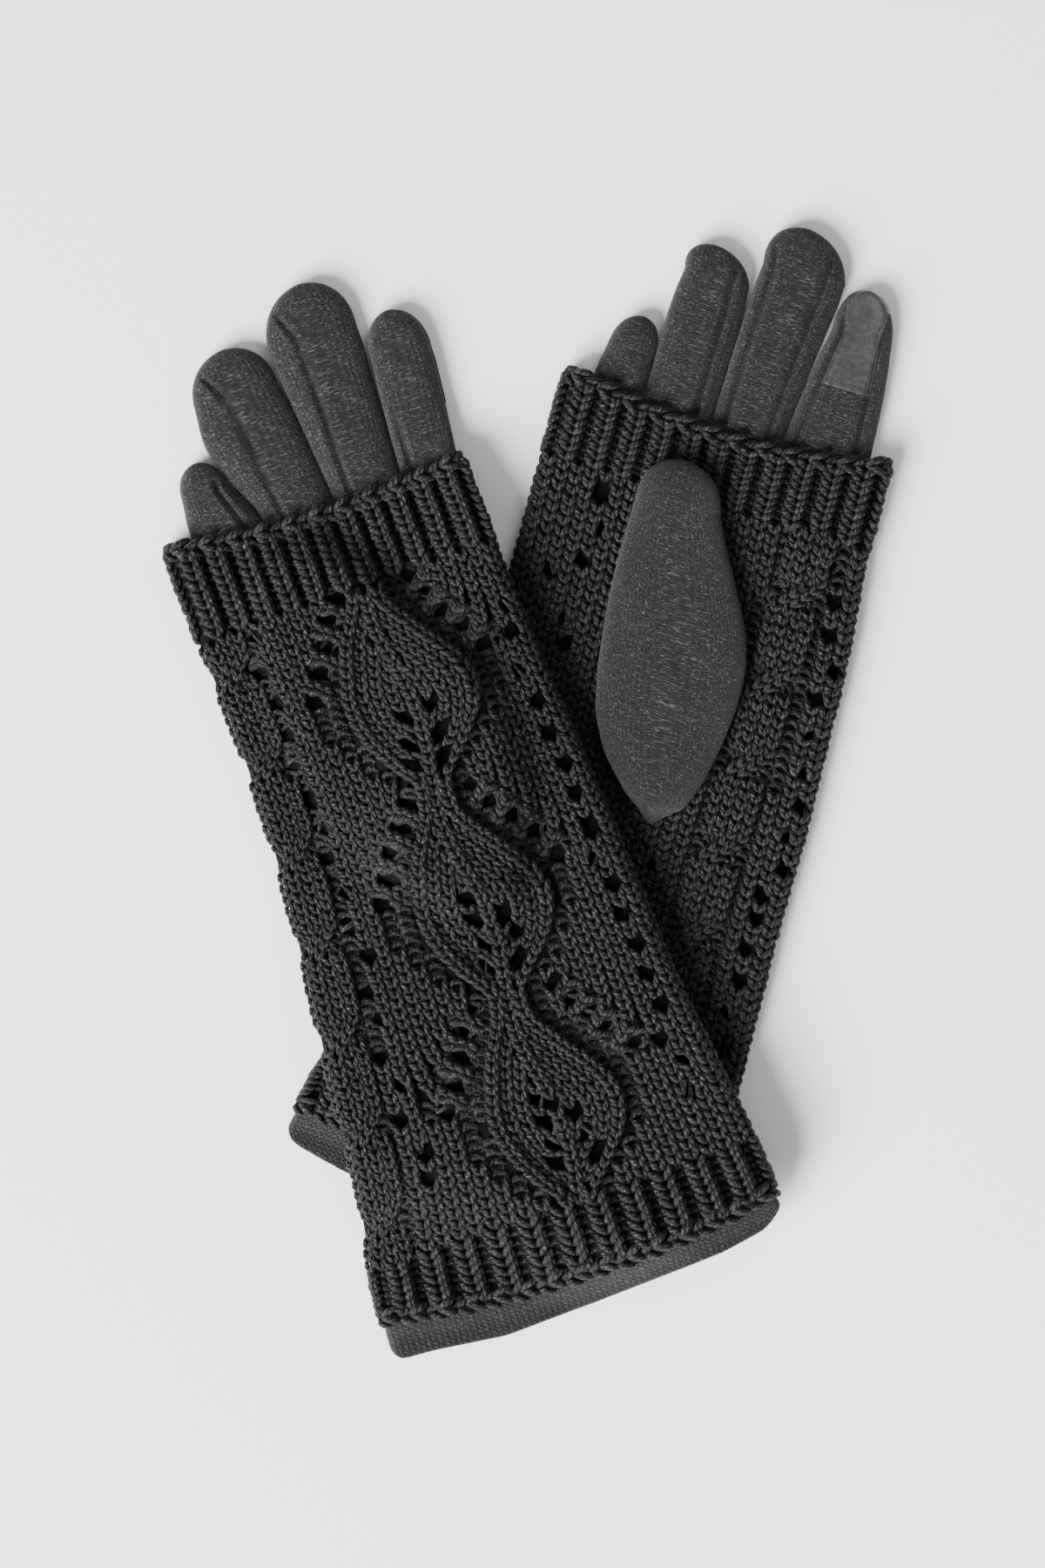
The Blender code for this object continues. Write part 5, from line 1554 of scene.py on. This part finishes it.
@dataclass
class InnerGlove:
    """The smooth five-finger glove with its long cuff, its touch patch and its thumb."""

    plan: GlovePlan
    finishes: Finishes
    # The hand's tube: half its thickness in the open and in the sleeve, how far past the rims it has thinned,
    # and how far it lies inside the sleeve's folds.
    half: float = 2.4
    hidden_half: float = 1.7
    hidden_from: float = 6.0
    hidden_run: float = 10.0
    fold_inset: float = 3.4
    cuff_inset: float = 1.6
    # The cuff's turned hem: its reach inside, its radius, its rows of points and the place of its stitches.
    hem_reach: float = 14.0
    hem_radius: float = 0.85
    hem_rows: int = 12
    turn_rows: int = 6
    hem_stitches: float = 11.0
    # How far inside the sleeve's finger rim the hand's tube ends, and how far inside it the fingers start.
    hand_end: float = 4.5
    finger_start: float = 9.0
    # A finger: the heights of its top, on the stack and on the table, and of its foot. Then how far up its
    # waist lies, how square it is across, and how deep its seams are.
    stack_top: float = 7.5
    finger_top: float = 8.2
    finger_foot: float = 0.35
    finger_waist: float = 0.42
    finger_square: float = 0.72
    seam_depth: float = 1.15
    # Powers below 1 that fill out a round form: above and below the waist of a finger and of the thumb.
    finger_fill: tuple[float, float] = (0.78, 0.5)
    thumb_fill: tuple[float, float] = (0.6, 0.45)
    # Powers that crowd rows of points towards the cuff's edge, and towards a finger's tip.
    hand_crowding: float = 1.35
    finger_crowding: float = 0.86
    # The patch: where it starts along the finger, how far it stands out, and how wide it is for its hem.
    patch_start: float = 268.0
    patch_rise: float = 0.35
    patch_width: float = 20.0
    # The thumb: how long its root takes to open, the height of its waist, and how square it is across.
    thumb_root: float = 7.0
    thumb_waist: float = 0.36 * THUMB_THICK
    thumb_square: float = 0.66
    hand_net: Net = Net(144, 112)
    finger_net: Net = Net(72, 84)
    patch_net: Net = Net(40, 60)
    thumb_net: Net = Net(96, 112)

    def side_of(self, v: Array, column: int) -> Array:
        """A side of the hand's tube, a little wider in the cuff."""
        rim = self.plan.bottom_rim[0 if column == 1 else 2]
        inset = self.cuff_inset + (self.fold_inset - self.cuff_inset) * ease((v - rim + 4.0) / 5.0)
        return self.plan.fold(v, column) + (inset if column == 1 else -inset)

    def sink(self, u: Array, v: Array) -> Array:
        """Share of the way down from the stack to the table past the sleeve's rims."""
        plan = self.plan
        beyond = np.maximum(v - plan.rim(u, plan.top_rim), plan.rim(u, plan.bottom_rim) - v)
        return ease((beyond - 0.4) / 8.0)

    def add_hand(self, surface: ClothSurface) -> None:
        """The hand's flat tube, from the turned hem of the cuff to the fingers' roots."""
        plan, net = self.plan, self.hand_net
        share, step = net.shares()
        upper = share < 0.5
        position = np.where(upper, share * 2.0, 2.0 - share * 2.0)
        # Along, the rows run down inside the hem to the cuff's edge, round it and up to the fingers.
        edge = table(plan.cuff, position, 1, 0.02)
        rank = np.round(step * net.along)
        turn = np.clip((rank - self.hem_rows) / self.turn_rows, 0.0, 1.0) * math.pi
        inside = edge + self.hem_reach * (1.0 - rank / self.hem_rows)
        bend = edge - self.hem_radius * np.sin(turn)
        first = self.hem_rows + self.turn_rows
        run = np.clip((rank - first) / (net.along - first), 0.0, 1.0)
        outside = edge + (plan.top_rim[1] - self.hand_end - edge) * run ** self.hand_crowding
        along = np.where(rank < self.hem_rows, inside, np.where(turn < math.pi, bend, outside))
        low, high = self.side_of(along, 1), self.side_of(along, 2)
        # The face runs flat between two round sides, whose share of the way round is kept even.
        arc = self.half * math.pi / 2
        flat = high - low - 2 * self.half
        way = position * (flat + 2 * arc)
        turned_low = np.clip((arc - way) / self.half, 0.0, math.pi / 2)
        turned_high = np.clip((way - arc - flat) / self.half, 0.0, math.pi / 2)
        inward = np.minimum(along - plan.rim(0.0, plan.bottom_rim), plan.rim(0.0, plan.top_rim) - along)
        hidden = ease((inward - self.hidden_from) / self.hidden_run)
        depth = -self.hem_radius * (1.0 + np.cos(turn))
        radius = self.half + (self.hidden_half - self.half) * hidden + depth + ripple(way, along, 0.22)
        u = low + self.half + np.clip(way - arc, 0.0, flat) - radius * np.sin(turned_low)
        u = u + radius * np.sin(turned_high)
        middle = MIDDLE - GLOVE_LOW * self.sink(u, along)
        z = middle + np.where(upper, 1.0, -1.0) * radius * np.cos(turned_low + turned_high)
        points = plan.world(u, along, np.maximum(z, 0.05))
        cloth = np.stack([np.where(upper, way, -way), along], axis=-1)
        seam = 0.6 * hump(along - edge - self.hem_stitches, 0.7) * (rank > first)
        in_cuff = along < plan.rim(0.0, plan.bottom_rim) + 20.0
        finish = np.where(in_cuff, Cloth.CUFF.value, Cloth.PLAIN.value)
        # Inside the sleeve the cloth takes the finish with painted shade.
        surface.add(net, points, cloth, seam, finish=np.where(hidden > 0.02, Cloth.HIDDEN.value, finish))

    def finger_points(self, finger: Finger, angle: Array, v: Array,
                      out: float = 0.0) -> tuple[Array, Array, Array]:
        """Points round a finger.

        Args:
            finger: The finger.
            angle: Angle round it, 0 at its right edge, a quarter turn at its top.
            v: Places along it.
            out: How far out from its surface.

        Returns:
            u, z and how far each point belongs to a seam.
        """
        left, right = finger.span(v)
        last = finger.rows[-1][0]
        centre, half = (left + right) / 2, (right - left) / 2 + 0.35 * ease((last - v) / 8.0)
        close = tip_width(np.clip((v - last) / (finger.tip[1] - last), 0.0, 1.0))
        cosine, sine = np.cos(angle), np.sin(angle)
        upper = sine > 0
        u = centre + half * squared_off(cosine, self.finger_square)
        sink = self.sink(u, v)
        foot = self.finger_foot + (GLOVE_LOW + 0.2 - self.finger_foot) * (1.0 - sink)
        top = self.stack_top + (self.finger_top - self.stack_top) * sink
        waist = foot + (top - foot) * self.finger_waist
        rise = (top - waist) * np.abs(sine) ** self.finger_fill[0] * (0.35 + 0.65 * close)
        fall = (waist - foot) * np.abs(sine) ** self.finger_fill[1]
        seam, groove = np.zeros(np.shape(u)), np.zeros(np.shape(u))
        for column, edge in ((2, left), (3, right)):
            line = finger.seam(v, column)
            # A seam shows only where it runs apart from the finger's edge.
            real = ease((np.abs(line - edge) - 2.5) / 1.2)
            away = u - line
            # The seam mask darkens the colour: painted shade in the seam's groove.
            seam = np.maximum(seam, real * hump(away, 0.65))
            swell = 0.3 * hump(np.abs(away) - 2.0, 1.2)
            pucker = 0.1 * np.sin(v * 2.1 + column) * hump(np.abs(away) - 1.2, 0.9)
            groove += real * (-self.seam_depth * hump(away, 0.9) + swell + pucker)
        soft = (groove + ripple(u * 1.3, v, 0.35)) * np.where(upper, sine, 0.0) * (0.25 + 0.75 * close)
        z = waist + np.where(upper, rise, -fall) + soft
        if out:
            u = u + out * squared_off(cosine, 2)
            z = z + out * squared_off(sine, 0.5)
        return u, z, seam * upper

    def add_finger(self, surface: ClothSurface, finger: Finger) -> None:
        """One finger, closed at its round tip and open at its root inside the sleeve."""
        share, step = self.finger_net.shares()
        start = self.plan.top_rim[1] - self.finger_start
        v = start + (finger.tip[1] - start) * np.sin(step * math.pi / 2) ** self.finger_crowding
        u, z, seam = self.finger_points(finger, share * 2.0 * math.pi, v)
        points = self.plan.world(u, v, np.maximum(z, self.finger_foot))
        half = (finger.rows[0][4] - finger.rows[0][1]) / 2
        surface.add(self.finger_net, points, np.stack([share * 4.0 * half, v], axis=-1), seam)

    def build_patch(self) -> bpy.types.Object:
        """The corner of smooth cloth on the palm side of the index fingertip."""
        finger = self.plan.fingers[-1]
        share, step = self.patch_net.shares()
        last = finger.tip[1] - 0.25
        v = self.patch_start + (last - self.patch_start) * np.sin(step * math.pi / 2)
        left, right = finger.span(v)
        half = np.maximum((right - left) / 2, 0.05)
        cosines = (np.clip((line - (left + right) / 2) / half, -1.0, 1.0)
                   for line in (np.maximum(finger.seam(v, 2) + 0.3, left + 0.1), finger.seam(v, 3)))
        start, end = (np.arccos(squared_off(cosine, 1.0 / self.finger_square)) for cosine in cosines)
        angle = start + (end - start) * share
        if not self.plan.palm_up:
            angle = 2.0 * math.pi - (start + (0.1 - start) * share)
        u, z, _ = self.finger_points(finger, angle, v, self.patch_rise)
        hem = np.minimum(v - self.patch_start, share * self.patch_width)
        z = z + 0.25 * hump(hem - 0.8, 0.7) * self.plan.palm_up
        points = self.plan.world(u, v, np.maximum(z, 0.02))
        stitches = hump(hem - 1.6, 0.5) * (0.5 + 0.5 * np.sin((u + v) * 4.2))
        surface = ClothSurface()
        surface.add(self.patch_net, points, np.stack([share * 24.0, v], axis=-1), np.clip(stitches, 0.0, 1.0))
        patch = surface.build(f"{self.plan.side.value}_touch_patch", self.finishes.patch)
        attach(patch, "root")
        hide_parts(f"{self.plan.side.value}_tip_patch")
        return patch

    def build_thumb(self) -> bpy.types.Object:
        """The thumb: a flat form with its edges rolled under, on the sleeve or below it."""
        share, step = self.thumb_net.shares()
        first, tip = THUMB_ROWS[0][0] - 1.0, THUMB_TIP[1]
        v = first + (tip - first) * (1.0 - np.cos(step * math.pi)) / 2.0
        last, last_left, last_right = THUMB_ROWS[-1]
        centre, half = (last_right + last_left) / 2, (last_right - last_left) / 2
        near_tip = np.clip((v - last) / (tip - last), 0.0, 1.0)
        close = tip_width(near_tip)
        middle = centre + (THUMB_TIP[0] - centre) * near_tip
        left = np.where(v < last, table(THUMB_ROWS, v, 1, 4.0), middle - half * close)
        right = np.where(v < last, table(THUMB_ROWS, v, 2, 4.0), middle + half * close)
        root = np.sqrt(np.clip((v - first) / self.thumb_root, 0.0, 1.0))
        cosine, sine = np.cos(share * 2.0 * math.pi), np.sin(share * 2.0 * math.pi)
        u = (left + right) / 2 + (right - left) / 2 * root * squared_off(cosine, self.thumb_square)
        upper, waist = sine > 0, self.thumb_waist
        thick = THUMB_THICK * (0.3 + 0.7 * np.minimum(close, root))
        rise = (thick - waist * 0.9) * np.abs(sine) ** self.thumb_fill[0]
        fall = waist * np.abs(sine) ** self.thumb_fill[1]
        z = waist + np.where(upper, rise, -fall)
        z = z + ripple(u, v * 0.8, 0.5) * np.where(upper, sine, 0.0) * close * root
        if self.plan.palm_up:
            level = SLEEVE_TOP + LAYER_GAP + 0.9 * ease((v - 205.0) / 16.0)
            dive = 2.4 * (1.0 - ease((v - first) / 12.0))
            points = self.plan.world(u, v, z + level - dive)
        else:
            points = self.plan.world(u, v, np.maximum(THUMB_THICK - z, 0.05), THUMB_LIFT)
        surface = ClothSurface()
        surface.add(self.thumb_net, points, np.stack([share * 90.0, v], axis=-1), 0.0)
        side = self.plan.side.value
        thumb = surface.build(f"{side}_thumb", self.finishes.jersey)
        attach(thumb, "root")
        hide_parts(f"{side}_thumb_back", f"{side}_thumb_front")
        return thumb

    def build(self) -> list[bpy.types.Object]:
        side = self.plan.side.value
        surface = ClothSurface()
        self.add_hand(surface)
        for finger in self.plan.fingers:
            self.add_finger(surface, finger)
        # The second finish is the one with painted shade, for the stretch inside the sleeve.
        glove = surface.build(f"{side}_inner_glove", self.finishes.jersey, self.finishes.inside,
                              self.finishes.cuff)
        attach(glove, "root")
        nodes = [f"{side}_glove_back", f"{side}_glove_palm"]
        nodes += [f"{side}_fourchette_{number}" for number in (1, 2, 3)]
        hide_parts(*nodes)
        return [glove, self.build_patch(), self.build_thumb()]


# ---------------------------------------------------------------------------------------------
# Studio
# ---------------------------------------------------------------------------------------------


@dataclass(frozen=True)
class SoftLight:
    """A large soft lamp: its place, its size and its power."""

    name: str
    place: tuple[float, float, float]
    size: float
    power: float


@dataclass
class Studio:
    """The floor, the camera straight above and the soft light."""

    finishes: Finishes
    centre: tuple[float, float] = (-0.00137, 0.0026)
    lens: float = 135.0
    frame_long_side: float = 0.504
    floor_reach: float = 4.0
    world_light: float = 0.55
    lamps: tuple[SoftLight, ...] = (
        SoftLight("key_light", (-2.2, -2.2, 2.1), 2.9, 860.0),
        SoftLight("fill_light", (1.2, 1.6, 2.2), 1.6, 20.0),
    )

    def build_floor(self) -> bpy.types.Object:
        """The plain pale floor."""
        mesh = bmesh.new()
        bmesh.ops.create_grid(mesh, x_segments=1, y_segments=1, size=self.floor_reach)
        data = bpy.data.meshes.new("floor")
        mesh.to_mesh(data)
        mesh.free()
        floor = put_mesh("floor", data, self.finishes.floor)
        floor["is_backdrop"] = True
        return floor

    def build_camera(self) -> bpy.types.Object:
        """The camera, straight above the middle of the picture."""
        data = bpy.data.cameras.new("camera")
        data.lens = self.lens
        data.sensor_width = SENSOR
        data.clip_end = 20.0
        camera = bpy.data.objects.new("camera", data)
        camera.location = (*self.centre, self.lens / SENSOR * self.frame_long_side)
        bpy.context.scene.collection.objects.link(camera)
        bpy.context.scene.camera = camera
        return camera

    def build_lights(self) -> None:
        """The world's even light and the lamps."""
        world = bpy.data.worlds.new("studio")
        world.use_nodes = True
        background = world.node_tree.nodes["Background"]
        background.inputs["Color"].default_value = (1.0, 1.0, 1.0, 1.0)
        background.inputs["Strength"].default_value = self.world_light
        bpy.context.scene.world = world
        for lamp in self.lamps:
            data = bpy.data.lights.new(lamp.name, "AREA")
            data.shape = "DISK"
            data.size = lamp.size
            data.energy = lamp.power
            light = bpy.data.objects.new(lamp.name, data)
            light.location = lamp.place
            light.rotation_euler = (-Vector(lamp.place)).to_track_quat("-Z", "Y").to_euler()
            bpy.context.scene.collection.objects.link(light)

    def build(self) -> None:
        """Makes the whole studio."""
        self.build_floor()
        self.build_camera()
        self.build_lights()


def box_numbers(box: tuple) -> list[list[float]]:
    """A box as plain lists of numbers."""
    return [[float(value) for value in corner] for corner in box]


def main() -> list[list[float]]:
    """Builds the studio and both gloves.

    Returns:
        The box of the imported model, before anything is added.
    """
    logging.basicConfig(level=logging.INFO, format="%(message)s")
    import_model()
    packed = box_numbers(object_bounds())
    finishes = Finishes()
    Studio(finishes).build()
    for plan in (RIGHT_PLAN, LEFT_PLAN):
        # Each layer is built after the one that it rests on.
        layers = [LaceSleeve(plan, finishes), InnerGlove(plan, finishes)]
        for layer in layers if plan.palm_up else reversed(layers):
            LOG.info("%s glove: %s", plan.side.value, ", ".join(piece.name for piece in layer.build()))
    return packed


if __name__ == "__main__":
    PACKED_BOX = main()
